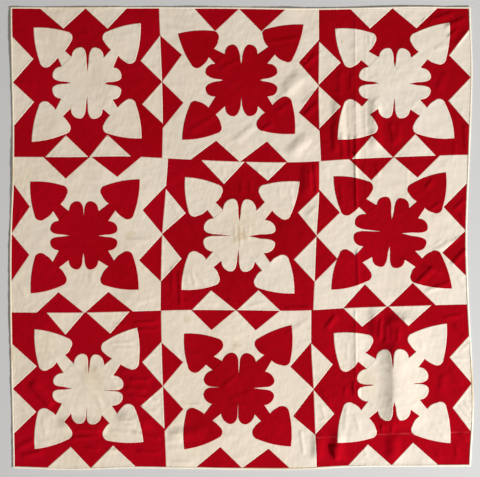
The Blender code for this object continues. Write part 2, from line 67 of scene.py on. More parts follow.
LOWER_SEAM_Y = (-0.340, -0.341, -0.336, -0.329, -0.330, -0.332, -0.318, -0.310, -0.303)
COLUMN_SEAMS_X = (
    {"left": (-0.378, -0.371, -0.364, -0.361, -0.364), "right": (0.354, 0.354, 0.352, 0.355, 0.363)},
    {"left": (-0.337, -0.350, -0.364, -0.369, -0.371), "right": (0.355, 0.354, 0.343, 0.336, 0.328)},
    {"left": (-0.369, -0.366, -0.360, -0.353, -0.346), "right": (0.319, 0.319, 0.329, 0.336, 0.344)},
)
BINDING_WIDTH = 0.0075
CORNER_RADIUS = 0.0050
BLOCK_SIDE = 0.687

# The laid-on motif
PETAL_STEPS = 14
LOBE_STEPS = 16
BACK_STEPS = 6
SIDE_STEPS = 10
ROOT_DISTANCE = 0.1326
STEM_ROOT_HALF_WIDTH = 0.0308
STEM_ROOT_MARGIN = 0.0008
STEM_TUCK = 0.0090


def metres(value):
    """A size from millimetres, or a row of them. Fractions kept in thousandths are read the same way."""
    return tuple(metres(part) for part in value) if isinstance(value, tuple) else value / 1000.0


# Each block's eight-petal centre: its middle, its turn in degrees (clockwise is positive), how far a
# petal's tip is from its pair's middle line, the length of its curve down into the slot, the notches
# where the stems run in, and how square its outer and inner curves are (2 is a true ellipse)
CENTRE_COLUMNS = ("row", "column", "ground", "middle", "turn", "tip_across", "inner_cap", "notch_along",
                  "notch_across", "outer_power", "inner_power")
CENTRE_ROWS = (
    (1, 1, "red", (-0.707, 0.710), 1.0, 0.0310, 0.0595, 0.1210, 0.0725, 2.1, 2.2),
    (1, 2, "cream", (-0.001, 0.723), -0.2, 0.0350, 0.0635, 0.1215, 0.0745, 2.3, 1.8),
    (1, 3, "red", (0.700, 0.709), 0.9, 0.0320, 0.0620, 0.1240, 0.0715, 1.9, 2.4),
    (2, 1, "cream", (-0.723, 0.011), 0.3, 0.0305, 0.0495, 0.1165, 0.0670, 2.0, 2.2),
    (2, 2, "red", (-0.013, 0.011), 1.8, 0.0325, 0.0680, 0.1170, 0.0760, 2.0, 2.5),
    (2, 3, "cream", (0.683, 0.026), 4.8, 0.0325, 0.0665, 0.1220, 0.0740, 2.2, 2.4),
    (3, 1, "red", (-0.705, -0.692), 2.8, 0.0315, 0.0450, 0.1180, 0.0685, 1.9, 2.6),
    (3, 2, "cream", (-0.014, -0.685), 1.4, 0.0345, 0.0390, 0.1210, 0.0765, 1.7, 2.0),
    (3, 3, "red", (0.694, -0.669), -2.1, 0.0320, 0.0595, 0.1185, 0.0740, 2.0, 2.5),
)

# The pair of petals on each side, in millimetres: how far it reaches, how near the middle its slot runs,
# and half the slot's width where it begins to narrow
PAIR_COLUMNS = ("right", "top", "left", "bottom")
PAIR_ROWS = (
    ((156, 80, 6.5), (163, 52, 5.5), (159, 73, 5), (163, 57, 4)),
    ((165, 86, 6), (163, 74, 4.5), (164, 83, 4.5), (165, 79, 2)),
    ((166, 69, 7), (161, 73, 5.5), (163, 71, 6.5), (160, 65, 3.5)),
    ((155, 68, 5.5), (158, 92, 1.5), (153, 64, 5.5), (155, 79, 4.5)),
    ((167, 46, 10), (168, 66, 5.5), (161, 38, 3.5), (164, 63, 4)),
    ((167, 50, 8), (161, 60, 6), (168, 43, 3), (161, 65, 5)),
    ((162, 74, 2), (161, 72, 4.5), (159, 73, 7), (158, 71, 1.5)),
    ((164, 68, 6), (160, 63, 3.5), (160, 82, 1.5), (167, 61, 1.5)),
    ((161, 90, 1.5), (161, 73, 4), (164, 87, 3), (165, 81, 7)),
)

# Each heart, in millimetres: its tip from the block's middle, then, from where its stem leaves the
# centre, the places (along, across) of its left and right lobes, their radius, where the stem meets the
# heart, the stem's half-widths on its left and right, and how far its sides and its back swell. A block
# has four rows, in the order of the names, and the blocks run from left to right and from the top
HEART_NAMES = ("upper_left", "upper_right", "lower_right", "lower_left")
HEART_COLUMNS = ("tip", "left_lobe", "right_lobe", "lobe_radius", "back", "stem_half_widths", "swells")
HEART_ROWS = (
    ((-245, 254), (70, 67), (83, 75), 28, 44, (16, 29), (6.5, 1)),
    ((245, 274), (92, 70), (83, 61), 29, 55, (28, 15), (7, 2)),
    ((249, -253), (76, 69), (82, 71), 28, 46, (21, 28), (7, 2.5)),
    ((-254, -269), (90, 69), (80, 61), 28, 55, (28, 16), (7, 1.5)),
    ((-290, 213), (88, 65), (86, 69), 29, 53, (19, 27), (7, 4)),
    ((285, 255), (95, 75), (98, 70), 22, 61, (26, 21), (7, 5.5)),
    ((246, -246), (84, 66), (81, 71), 32, 49, (20, 30), (6, 2.5)),
    ((-271, -273), (103, 72), (101, 66), 25, 62, (28, 18), (8.5, 4.5)),
    ((-272, 250), (89, 69), (86, 69), 29, 54, (31, 21), (8.5, 3.5)),
    ((252, 278), (87, 67), (90, 71), 29, 50, (22, 31), (7, 3.5)),
    ((273, -251), (88, 69), (87, 69), 29, 54, (24, 25), (9.5, 3.5)),
    ((-260, -258), (87, 71), (83, 70), 29, 49, (22, 28), (8, 2.5)),
    ((-244, 247), (75, 72), (83, 71), 28, 45, (20, 26), (7, 3.5)),
    ((257, 258), (85, 69), (82, 70), 28, 53, (23, 21), (7.5, 3.5)),
    ((252, -247), (79, 70), (82, 69), 28, 47, (18, 20), (7, 4)),
    ((-242, -264), (89, 61), (78, 67), 29, 51, (21, 18), (7, 3)),
    ((-246, 268), (89, 70), (89, 66), 28, 53, (25, 26), (7, 4.5)),
    ((278, 248), (92, 72), (93, 66), 28, 59, (33, 18), (7, 3)),
    ((254, -264), (91, 64), (88, 74), 30, 56, (19, 33), (7, 4.5)),
    ((-262, -247), (89, 64), (85, 67), 30, 51, (25, 23), (7.5, 4.5)),
    ((-262, 257), (90, 73), (87, 63), 29, 54, (28, 22), (8, 2)),
    ((253, 276), (88, 67), (90, 66), 28, 55, (21, 27), (9, 3.5)),
    ((281, -257), (98, 67), (89, 61), 28, 57, (23, 27), (7, 4)),
    ((-272, -262), (89, 67), (88, 63), 28, 57, (16, 31), (9.5, 2)),
    ((-243, 275), (82, 71), (89, 64), 28, 55, (23, 28), (7, 4.5)),
    ((226, 282), (82, 62), (85, 71), 30, 51, (18, 30), (7, 2)),
    ((255, -241), (74, 63), (78, 73), 32, 45, (19, 36), (6, 2)),
    ((-242, -273), (90, 67), (84, 63), 30, 52, (30, 20), (7, 2)),
    ((-249, 248), (81, 72), (76, 64), 32, 48, (33, 19), (7.5, 1.5)),
    ((243, 287), (90, 61), (98, 69), 28, 60, (18, 25), (7, 4.5)),
    ((240, -269), (86, 69), (85, 67), 33, 51, (26, 28), (7, 2.5)),
    ((-248, -282), (91, 64), (95, 72), 29, 60, (19, 30), (8, 2)),
    ((-272, 234), (90, 80), (87, 70), 28, 59, (30, 23), (6.5, 4.5)),
    ((245, 278), (85, 69), (85, 73), 28, 50, (23, 28), (6.5, 2.5)),
    ((262, -269), (93, 75), (94, 69), 28, 56, (27, 20), (6.5, 5.5)),
    ((-256, -266), (96, 76), (87, 70), 28, 56, (26, 25), (7, 4.5)),
)


def block_facts(number, centre, pairs):
    block = dict(zip(CENTRE_COLUMNS + PAIR_COLUMNS, centre + metres(pairs)))
    hearts = HEART_ROWS[number * len(HEART_NAMES):]
    for corner, heart in zip(HEART_NAMES, hearts):
        block[corner] = dict(zip(HEART_COLUMNS, metres(heart)))
    return block


BLOCKS = [block_facts(number, *rows) for number, rows in enumerate(zip(CENTRE_ROWS, PAIR_ROWS))]
FACES_OF = {"red": "cream", "cream": "red"}

# The pieced triangles, in thousandths of a block's side. Top and bottom sides run left to right, the
# others top to bottom. Each side has two: start to first middle, and second middle to end, with
# the place along the side and the depth of each apex
PATCH_SIDES = ("top", "right", "bottom", "left")
PATCH_COLUMNS = ("start", "first_middle", "second_middle", "end", "apex_1", "depth_1", "apex_2", "depth_2")
PATCH_ROWS = (
    ((190, 500, 500, 780, 350, 134, 650, 136), (180, 490, 490, 770, 350, 138, 640, 137),
     (210, 501, 509, 790, 350, 145, 630, 145), (190, 496, 499, 790, 340, 138, 630, 136)),
    ((220, 500, 500, 790, 350, 151, 640, 149), (200, 499, 505, 800, 350, 134, 680, 134),
     (180, 488, 492, 790, 340, 134, 660, 139), (180, 490, 490, 800, 310, 139, 630, 138)),
    ((210, 490, 490, 790, 340, 131, 650, 135), (140, 470, 470, 800, 320, 143, 630, 145),
     (210, 488, 492, 780, 345, 147, 640, 148), (210, 498, 502, 785, 350, 146, 640, 146)),
    ((190, 493, 502, 825, 335, 143, 670, 136), (180, 496, 504, 810, 340, 143, 670, 148),
     (170, 484, 496, 815, 315, 136, 650, 134), (175, 489, 495, 800, 320, 113, 630, 120)),
    ((220, 508, 512, 785, 370, 153, 660, 124), (205, 499, 505, 810, 345, 135, 660, 145),
     (205, 491, 499, 785, 330, 131, 640, 136), (200, 496, 499, 810, 360, 147, 660, 135)),
    ((200, 498, 502, 810, 350, 148, 660, 142), (190, 506, 509, 810, 350, 150, 655, 155),
     (195, 478, 487, 795, 335, 153, 645, 153), (190, 498, 502, 810, 345, 145, 655, 146)),
    ((235, 489, 501, 790, 360, 147, 660, 145), (200, 481, 484, 755, 330, 133, 610, 154),
     (215, 501, 504, 800, 370, 143, 650, 144), (205, 493, 497, 785, 350, 162, 645, 151)),
    ((200, 494, 500, 790, 335, 134, 630, 133), (205, 501, 504, 795, 360, 146, 675, 143),
     (200, 503, 507, 820, 360, 138, 680, 130), (205, 483, 487, 770, 330, 140, 630, 130)),
    ((205, 485, 495, 770, 325, 129, 620, 132), (195, 491, 494, 795, 330, 138, 645, 129),
     (205, 488, 492, 795, 335, 139, 630, 149), (210, 503, 507, 790, 345, 138, 660, 132)),
)

# The main folds, as in the solids but for softer flanks: where each crest runs, its height and its
# half-width, or its left and right half-widths. The storage crease is lower here, because a sharper crest
# rides on it
FOLD_TAPER = 0.060
TALL_FOLD = ((0.704, -0.330), (0.699, -0.885), 0.0140, (0.092, 0.200))
TALL_FOLD_BEND = 0.75
FOLD_ROWS = (
    ((0.610, -0.300), (0.620, -0.490), 0.007, 0.044),
    ((0.697, -0.880), (0.692, -1.035), 0.008, 0.044),
    ((0.352, -0.880), (0.346, -1.035), 0.008, 0.042),
    ((0.444, -0.860), (0.438, -1.035), 0.008, 0.042),
    ((0.526, 1.020), (0.526, 0.170), 0.0016, 0.042),
    ((0.526, -0.360), (0.528, -0.680), 0.0022, 0.042),
    ((0.442, 0.660), (0.448, 0.390), 0.007, 0.042),
    ((0.610, 0.660), (0.616, 0.390), 0.007, 0.042),
    ((0.180, 0.650), (0.290, 0.775), 0.006, 0.046),
    ((0.205, 0.365), (0.325, 0.480), 0.006, 0.046),
    ((0.302, 0.350), (0.296, 0.170), 0.007, 0.042),
    ((-0.850, -0.845), (-0.600, -0.868), 0.008, 0.044),
    ((-0.580, -0.800), (-0.400, -0.872), 0.007, 0.044),
    ((-0.345, -0.900), (-0.150, -0.890), 0.007, 0.044),
)

# Finer creases, in millimetres and all tapered at their ends. Each is a soft ridge that
# leans: its side toward the lower right is wider, so it shows as a dark line with a fainter bright one
CREASE_TAPER = 0.026
CREASE_LEAN = 1.7
LIGHT_WAY = (0.83, -0.56)
CREASE_COLUMNS = ("from_x", "from_y", "to_x", "to_y", "height", "half_width")
CREASE_ROWS = (
    # In the upper left block
    (-905, 939, -891, 880, 0.8, 13), (-511, 958, -488, 907, 0.8, 13), (-561, 729, -635, 600, 0.7, 22),
    (-770, 921, -687, 939, 1.2, 18), (-1021, 719, -930, 701, 1.2, 18), (-522, 699, -431, 718, 1.2, 20),
    # In the upper middle block
    (199, 658, 341, 772, 2.5, 27), (270, 603, 351, 680, 2.2, 18), (149, 626, 222, 681, 1.7, 16),
    (108, 895, 273, 920, 2.5, 13), (83, 493, 152, 530, 3.4, 13), (148, 571, 231, 626, 2.5, 13),
    (-42, 437, 64, 524, 2.2, 19), (-353, 972, -234, 943, 1.4, 16), (-316, 1005, -220, 980, 1.1, 15),
    (-245, 487, -112, 564, 2.2, 18), (278, 778, 351, 852, 3.4, 13), (278, 553, 353, 627, 3.7, 15),
    (231, 429, 300, 484, 0.8, 15), (278, 375, 355, 443, 1.0, 15), (219, 498, 274, 517, 1.2, 11),
    (-108, 767, 20, 836, 1.6, 16),
    # In the upper right block
    (525, 637, 532, 381, 1.3, 10), (489, 619, 491, 491, 1.2, 10), (510, 614, 511, 509, 1.2, 10),
    (560, 592, 566, 491, 1.2, 10), (581, 564, 583, 491, 1.2, 10), (418, 528, 425, 381, 3.7, 16),
    (459, 491, 466, 354, 3.7, 15), (493, 482, 497, 353, 4.0, 13), (520, 472, 524, 353, 4.0, 12),
    (682, 538, 701, 419, 4.0, 18), (721, 536, 711, 435, 3.4, 16), (577, 941, 592, 872, 1.7, 10),
    (601, 915, 610, 858, 1.5, 10), (476, 942, 496, 892, 0.8, 13), (629, 654, 669, 586, 1.7, 12),
    (593, 610, 643, 660, 1.2, 11), (699, 785, 781, 712, 1.5, 15), (822, 978, 851, 1023, 1.4, 10),
    (854, 969, 886, 1028, 2.2, 10), (875, 1000, 976, 1034, 4.3, 16), (922, 959, 1032, 1014, 4.0, 16),
    (969, 875, 1040, 955, 3.1, 12), (937, 907, 996, 971, 3.4, 12), (875, 857, 942, 895, 1.7, 16),
    (892, 669, 937, 770, 2.5, 20), (1020, 528, 1029, 390, 3.4, 16), (971, 446, 980, 372, 2.2, 13),
    (450, 774, 446, 646, 2.5, 16), (504, 765, 500, 664, 2.5, 13),
    # In the middle left block
    (-1027, -206, -979, -281, 1.2, 13), (-991, 240, -976, 174, 1.0, 13), (-538, -7, -408, -7, 1.5, 10),
    (-501, -29, -426, -14, 1.0, 9), (-697, -135, -680, -213, 1.2, 16), (-540, -273, -448, -291, 1.0, 11),
    (-500, -303, -390, -271, 0.8, 11), (-1013, 146, -1027, 64, 1.9, 11), (-607, 94, -534, 140, 0.8, 16),
    (-552, -143, -497, -180, 1.6, 13),
    # In the middle block
    (-33, 69, -26, -36, 1.5, 8), (-10, 69, -6, -54, 1.5, 7), (14, 74, 18, -18, 1.2, 7),
    (34, 74, 29, -27, 1.0, 7), (-91, 339, -78, 274, 1.2, 9), (66, 325, 84, 282, 2.2, 9),
    (121, 327, 132, 274, 1.0, 9), (-6, 267, 5, 194, 2.5, 11), (38, 275, 40, 202, 2.5, 11),
    (223, 239, 234, 120, 1.2, 10), (168, 241, 177, 183, 1.0, 10), (332, 349, 341, 198, 5.6, 12),
    (310, 321, 313, 211, 2.8, 11), (293, 93, 348, 154, 1.7, 11), (-233, -136, -210, -229, 1.7, 10),
    (-258, -171, -236, -212, 1.4, 9), (-214, -160, -154, -215, 1.4, 11), (-72, -270, -13, -305, 3.4, 11),
    (-25, -219, 16, -260, 2.5, 12), (-288, -146, -278, -324, 3.1, 11), (-271, -273, -193, -309, 2.8, 11),
    (-171, -290, -103, -308, 1.4, 9), (-196, -314, -121, -336, 1.2, 9), (26, -315, 122, -291, 1.4, 10),
    (190, -321, 329, -315, 3.1, 10), (-316, -119, -318, -265, 2.2, 13), (122, -107, 186, -62, 1.9, 16),
    (252, -126, 325, -144, 0.8, 13), (168, 66, 242, 38, 2.2, 16), (-316, 159, -280, 77, 1.4, 13),
    (-233, 78, -187, -5, 1.9, 16), (260, 22, 324, -15, 2.2, 12),
    # In the middle right block
    (521, 353, 526, 120, 2.8, 9), (528, -45, 534, -228, 3.4, 9), (755, 340, 760, 175, 0.8, 11),
    (454, 257, 459, 138, 1.9, 13), (835, 220, 884, 280, 3.4, 13), (849, 121, 919, 169, 3.1, 12),
    (861, -68, 962, -4, 1.9, 10), (889, -61, 1019, 16, 1.9, 10), (871, -40, 927, 1, 1.4, 9),
    (964, 122, 1026, 181, 3.4, 12), (998, 122, 1020, 62, 3.1, 11), (957, -126, 1032, -42, 4.7, 16),
    (796, -212, 885, -125, 5.0, 17), (826, -125, 922, -164, 3.4, 13), (718, -89, 815, -127, 2.8, 13),
    (833, -246, 966, -198, 2.8, 12), (984, -170, 1030, -243, 1.4, 13), (617, 342, 628, 274, 2.8, 11),
    (557, 340, 564, 276, 2.2, 10), (380, 340, 390, 258, 1.2, 13), (427, 338, 482, 332, 0.8, 10),
    (911, 346, 985, 273, 1.2, 18),
    # In the lower left block
    (-971, -655, -864, -777, 6.5, 28), (-899, -434, -815, -480, 1.0, 15), (-899, -502, -835, -568, 1.2, 15),
    (-501, -389, -371, -378, 4.0, 13), (-484, -416, -372, -419, 3.4, 12), (-611, -482, -481, -477, 1.9, 10),
    (-593, -501, -482, -504, 1.7, 9), (-557, -598, -482, -605, 1.7, 10), (-593, -395, -518, -397, 2.2, 11),
    (-778, -565, -669, -684, 1.5, 18), (-667, -716, -632, -798, 1.4, 13), (-679, -590, -578, -641, 2.5, 13),
    (-741, -626, -638, -782, 0.8, 18), (-612, -647, -555, -652, 1.5, 9), (-594, -683, -555, -687, 1.4, 8),
    (-520, -644, -409, -649, 4.3, 13), (-540, -680, -428, -698, 4.3, 13), (-521, -716, -409, -734, 3.7, 12),
    (-429, -527, -369, -532, 1.4, 9), (-436, -753, -367, -739, 1.7, 10), (-448, -781, -373, -799, 1.7, 10),
    (-570, -836, -481, -832, 2.2, 10), (-575, -854, -482, -859, 1.9, 10), (-612, -882, -500, -891, 1.4, 10),
    (-768, -874, -638, -884, 4.3, 13), (-794, -920, -636, -900, 4.0, 13), (-504, -883, -364, -920, 3.7, 13),
    (-1013, -995, -902, -976, 4.3, 16), (-1038, -965, -945, -919, 3.7, 16), (-629, -975, -518, -964, 1.9, 13),
    (-911, -818, -897, -912, 1.0, 13), (-940, -938, -846, -918, 1.2, 13), (-1011, -778, -963, -821, 1.0, 11),
    (-484, -973, -365, -984, 3.7, 13), (-723, -954, -641, -973, 3.1, 12),
    # In the lower middle block
    (-277, -760, -170, -762, 1.7, 8), (-346, -893, -271, -894, 1.4, 8), (-337, -922, -262, -930, 1.4, 9),
    (-337, -959, -271, -966, 1.2, 9), (-328, -1023, -216, -1027, 1.4, 9), (-94, -682, -19, -628, 2.0, 13),
    (-54, -757, 21, -768, 2.0, 12), (-68, -743, 62, -695, 1.4, 17), (-221, -512, -128, -558, 1.4, 15),
    (268, -869, 284, -999, 2.2, 10), (190, -448, 320, -364, 1.2, 16), (-82, -896, -16, -913, 1.2, 12),
    (-43, -1005, 23, -1000, 1.2, 10), (-222, -839, -148, -885, 1.4, 13), (126, -841, 200, -877, 1.2, 16),
    (-321, -482, -275, -592, 1.6, 13), (-274, -564, -229, -577, 1.0, 10), (-49, -495, 22, -499, 1.0, 9),
    (-91, -437, 1, -456, 0.8, 13),
    # In the lower right block
    (380, -421, 437, -342, 5.0, 16), (630, -472, 637, -357, 5.0, 13), (660, -489, 658, -382, 5.3, 16),
    (685, -480, 682, -357, 1.9, 10), (711, -486, 718, -403, 3.1, 11), (481, -466, 485, -576, 1.2, 12),
    (819, -448, 828, -523, 1.0, 11), (915, -366, 1026, -348, 3.1, 13), (965, -388, 1049, -472, 4.0, 15),
    (968, -547, 1043, -556, 1.7, 9), (997, -519, 1047, -480, 1.5, 10), (991, -758, 1057, -841, 2.0, 10),
    (1011, -740, 1056, -795, 1.7, 9), (970, -777, 1038, -850, 1.7, 9), (828, -637, 857, -626, 1.2, 8),
    (512, -648, 517, -734, 5.3, 10), (531, -666, 531, -740, 5.6, 10), (476, -669, 471, -726, 3.4, 11),
    (359, -760, 389, -842, 1.5, 9), (349, -848, 387, -819, 1.2, 9), (480, -762, 471, -890, 1.5, 11),
    (516, -813, 546, -897, 1.4, 11), (415, -939, 439, -1024, 10.1, 25), (453, -980, 481, -1023, 4.3, 15),
    (639, -842, 644, -892, 4.7, 9), (691, -843, 686, -902, 3.7, 10), (713, -814, 722, -855, 3.4, 9),
    (881, -866, 938, -923, 1.5, 10), (836, -852, 828, -891, 1.0, 9), (927, -811, 956, -850, 1.2, 10),
    (633, -562, 672, -590, 1.0, 11), (906, -716, 924, -615, 2.8, 20), (883, -975, 919, -1021, 2.8, 13),
    (558, -942, 573, -1015, 1.4, 11), (980, -942, 987, -1016, 3.1, 13), (993, -883, 1039, -938, 3.4, 15),
    (364, -687, 410, -778, 2.3, 18), (738, -354, 766, -427, 2.8, 16), (949, -598, 1013, -680, 2.5, 18),
)

# Sharp creases keep a crest: start, end, height, the widths of their left and right flanks, and how
# hollow the flanks are (1 is straight)
SHARP_ROWS = (
    # Steeper places on the tall fold
    ((0.6880, -0.500), (0.6900, -0.610), 0.0014, 0.030, 0.018, 1.8),
    ((0.6890, -0.590), (0.6905, -0.730), 0.0010, 0.034, 0.040, 1.8),
    ((0.6900, -0.705), (0.6905, -0.800), 0.0014, 0.030, 0.034, 1.8),
    # The long storage crease, in its two parts, and a fainter one beside it
    ((0.520, 1.045), (0.523, 0.120), 0.0013, 0.009, 0.008, 1.5),
    ((0.521, -0.320), (0.524, -0.655), 0.0020, 0.010, 0.009, 1.6),
    ((0.567, 1.000), (0.570, 0.160), 0.0008, 0.010, 0.010, 1.5),
)
# The pieced seam across the lower right ground
PIECED_SEAM = ((0.341, -0.916), (0.648, -0.900), (1.044, -0.891))

# Heights above the surface, and the turned-under rim of a laid-on piece as (distance in, height)
CLEARANCE = 0.0002
GROUND_TOP = 0.00145
BROAD_RISE = 0.0042
FINE_RISE = 0.0009
BASE_RISE = 0.0014
WARP_REACH = 0.030
# How round a sharp crease's crest is, and the cloth where it meets the surface it lies on
CREST_ROUND = 4e-7
FLOOR_ROUND = 1e-7
# The pieced seam's groove as (half-width, depth), and its allowance's press and how worn its edge is
SEAM_GROOVE = (0.0022, 0.0007)
ALLOWANCE_PRESS = 0.00035
WEAR_MIDDLE = 0.0008
WEAR_HALF_WIDTH = 0.0036
PANEL_RIM = ((0.0, -0.00065), (0.0005, -0.00030), (0.0014, -0.00004), (0.0032, 0.0))
PATCH_RIM = ((0.0, -0.00065), (0.0005, -0.00015), (0.0014, 0.00022), (0.0032, 0.00030), (0.0065, 0.00026),
             (0.0085, 0.0))
APPLIQUE_RIM = ((0.0, 0.00010), (0.0004, 0.00045), (0.0010, 0.00073), (0.0018, 0.00086),
                (0.0034, 0.00090), (0.0066, 0.00086), (0.0090, 0.00070))
# How far the centre rises over a stem, with the lap's reach and half-width and the run in which each
# fades; how far the ground is pressed down under a laid-on piece and where that begins; how high a stem
# may stand under the centre's edge; and how far a laid-on piece stays above the ground's own triangles
LAP = 0.00080
LAP_REACH = (0.026, 0.016)
LAP_HALF_WIDTH = (0.0385, 0.006)
MOUTH_OVERLAP = 0.004
SINK = 0.00055
SINK_START = 0.002
SINK_BLEND = 0.004
STEM_TOP = 0.00072
STEM_RISE = 0.0008
GROUND_MARGIN = 0.00042
# How high a panel and a laid-on piece gather beside their seams, and how far the gathers reach
PANEL_GATHER = (0.00013, 0.009)
APPLIQUE_GATHER = (0.00012, 0.008)
STITCH_SPACING = 0.0052
THREAD_RADIUS = 0.00026
# The stitch's path: how far into the piece, how far along its edge, and how proud of what it lies on
STITCH_PATH = ((0.0021, 0.0008, -0.00005), (0.0016, 0.0005, 0.00026), (0.0003, 0.0, 0.00012),
               (-0.0006, -0.0004, 0.00002))

# The mesh: the space between panels, the outline's step, the lattice's cell on top and underneath, and
# how far from a sharp crease or the pieced seam the lines that hold its form run
PANEL_GAP = 0.00005
OUTLINE_STEP = 0.0036
CELL = 0.0060
UNDER_CELL = 0.020
CREASE_OFFSETS = (-0.0075, -0.0030, -0.0010, 0.0010, 0.0030, 0.0075)
SEAM_OFFSETS = (-0.0022, 0.0, 0.0022, 0.0045)
FEATURE_STEP = 0.0065
# Rings keep at least this share of their offset from the outline. Feature lines keep off the innermost
# ring, lattice points off that ring (in cells) and off the feature lines
RING_SHARE = 0.94
FEATURE_MARGIN = 0.0015
CELL_MARGIN = 0.55
FEATURE_CLEAR = 0.0032
CHUNK = 400


def through(values, position):
    last = len(values) - 1
    index = min(max(int(math.floor(position)), 0), last - 1)
    t = min(max(position - index, 0.0), 1.0)
    before = values[max(index - 1, 0)]
    start = values[index]
    end = values[index + 1]
    after = values[min(index + 2, last)]
    bend = 2.0 * before - 5.0 * start + 4.0 * end - after
    twist = 3.0 * start - before - 3.0 * end + after
    return 0.5 * (2.0 * start + (end - before) * t + bend * t * t + twist * t ** 3)


def outer_x(column_seam, y):
    values = LEFT_EDGE_X if column_seam == 0 else RIGHT_EDGE_X
    return through(values, (HALF_SPAN - y) / STATION_STEP)


def outer_y(row_seam, x):
    values = TOP_EDGE_Y if row_seam == 0 else BOTTOM_EDGE_Y
    return through(values, (x + HALF_SPAN) / STATION_STEP)


def row_seam_y(row_seam, x):
    if row_seam == 0:
        return outer_y(0, x) - BINDING_WIDTH
    if row_seam == 3:
        return outer_y(3, x) + BINDING_WIDTH
    return through((UPPER_SEAM_Y, LOWER_SEAM_Y)[row_seam - 1], (x + HALF_SPAN) / STATION_STEP)


def side_seam_x(column_seam, y):
    return outer_x(column_seam, y) + (BINDING_WIDTH if column_seam == 0 else -BINDING_WIDTH)


def block_corner(row, column_seam, row_seam):
    if column_seam in (0, 3):
        y = 0.0
        for attempt in range(4):
            x = side_seam_x(column_seam, y)
            y = row_seam_y(row_seam, x)
        return x, y
    values = COLUMN_SEAMS_X[row - 1][("left", "right")[column_seam - 1]]
    x = values[0] if row_seam == row - 1 else values[-1]
    return x, row_seam_y(row_seam, x)


def on_side(block, side, fraction):
    """A point on one of a block's four sides, at a fraction of the way along it."""
    row, column = block["row"], block["column"]
    if side in ("top", "bottom"):
        row_seam = row - 1 if side == "top" else row
        start = block_corner(row, column - 1, row_seam)[0]
        end = block_corner(row, column, row_seam)[0]
        x = start + (end - start) * fraction
        return x, row_seam_y(row_seam, x)
    column_seam = column - 1 if side == "left" else column
    top = block_corner(row, column_seam, row - 1)
    foot = block_corner(row, column_seam, row)
    y = top[1] + (foot[1] - top[1]) * fraction
    if column_seam in (0, 3):
        return side_seam_x(column_seam, y), y
    values = COLUMN_SEAMS_X[row - 1][("left", "right")[column_seam - 1]]
    return through(values, fraction * (len(values) - 1)), y


def along_side(block, side, start, end):
    """Points on a side from one fraction to another, the first included and the last left out."""
    count = max(int(math.ceil(abs(end - start) * BLOCK_SIDE / 0.02)), 1)
    return [on_side(block, side, start + (end - start) * step / count) for step in range(count)]


# Outlines, each a list of flat points that runs anticlockwise


def patch_apex(block, side, place, depth):
    x, y = on_side(block, side, place)
    inward = {"top": (0.0, -1.0), "bottom": (0.0, 1.0), "left": (1.0, 0.0), "right": (-1.0, 0.0)}[side]
    return x + inward[0] * depth * BLOCK_SIDE, y + inward[1] * depth * BLOCK_SIDE


def patch_facts(block):
    index = (block["row"] - 1) * 3 + block["column"] - 1
    return {side: dict(zip(PATCH_COLUMNS, metres(row))) for side, row in zip(PATCH_SIDES, PATCH_ROWS[index])}


def panel_outline(block):
    """A block's main ground: its square less the eight pieced triangles, whose points reach its sides."""
    outline = []
    facts = patch_facts(block)
    for side, reverse in (("bottom", False), ("right", True), ("top", True), ("left", False)):
        f = facts[side]
        stops = [("edge", 0.0, f["start"]), ("apex", f["apex_1"], f["depth_1"]),
                 ("edge", f["first_middle"], f["second_middle"]), ("apex", f["apex_2"], f["depth_2"]),
                 ("edge", f["end"], 1.0)]
        if reverse:
            stops = [(kind, b, a) if kind == "edge" else (kind, a, b) for kind, a, b in stops[::-1]]
        for number, (kind, a, b) in enumerate(stops):
            if kind == "apex":
                outline.append(patch_apex(block, side, a, b))
                continue
            outline += along_side(block, side, a, b)
            if number < 4:
                outline.append(on_side(block, side, b))
    return tidied(outline)


def patch_outlines(block):
    outlines = []
    for side, f in patch_facts(block).items():
        for start, end, apex, depth in (
                (f["start"], f["first_middle"], f["apex_1"], f["depth_1"]),
                (f["second_middle"], f["end"], f["apex_2"], f["depth_2"])):
            outline = along_side(block, side, start, end)
            outline += [on_side(block, side, end), patch_apex(block, side, apex, depth)]
            outlines.append(tidied(outline))
    return outlines


def centre_outline(block):
    """Four pairs of rounded petals, each pair parted by a slot that narrows to a point."""
    tip, cap = block["tip_across"], block["inner_cap"]
    notch_along, notch_across = block["notch_along"], block["notch_across"]
    outline = []
    for quarter, side in enumerate(PAIR_COLUMNS):
        reach, slot_end, mouth = block[side]
        angle = math.radians(90.0 * quarter - block["turn"])
        half = []
        for step in range(PETAL_STEPS + 1):
            bend = math.radians(90.0 * step / PETAL_STEPS)
            along = math.sin(bend) ** (2.0 / block["outer_power"])
            across = abs(math.cos(bend)) ** (2.0 / block["outer_power"])
            half.append((notch_along + (reach - notch_along) * along, -tip - (notch_across - tip) * across))
        for step in range(1, PETAL_STEPS + 1):
            bend = math.radians(90.0 * step / PETAL_STEPS)
            along = abs(math.cos(bend)) ** (2.0 / block["inner_power"])
            across = math.sin(bend) ** (2.0 / block["inner_power"])
            half.append((reach - cap + cap * along, (tip - mouth) * across - tip))
        pair = half + [(slot_end, 0.0)] + [(along, -across) for along, across in reversed(half)]
        for along, across in pair:
            outline.append((block["middle"][0] + along * math.cos(angle) - across * math.sin(angle),
                            block["middle"][1] + along * math.sin(angle) + across * math.cos(angle)))
    return outline


def swollen(start, end, way, swell, steps):
    """The points strictly between two others, on a curve that swells out in the way given."""
    points = []
    for step in range(1, steps):
        t = step / steps
        out = 4.0 * swell * t * (1.0 - t)
        points.append((start[0] + (end[0] - start[0]) * t + way[0] * out,
                       start[1] + (end[1] - start[1]) * t + way[1] * out))
    return points


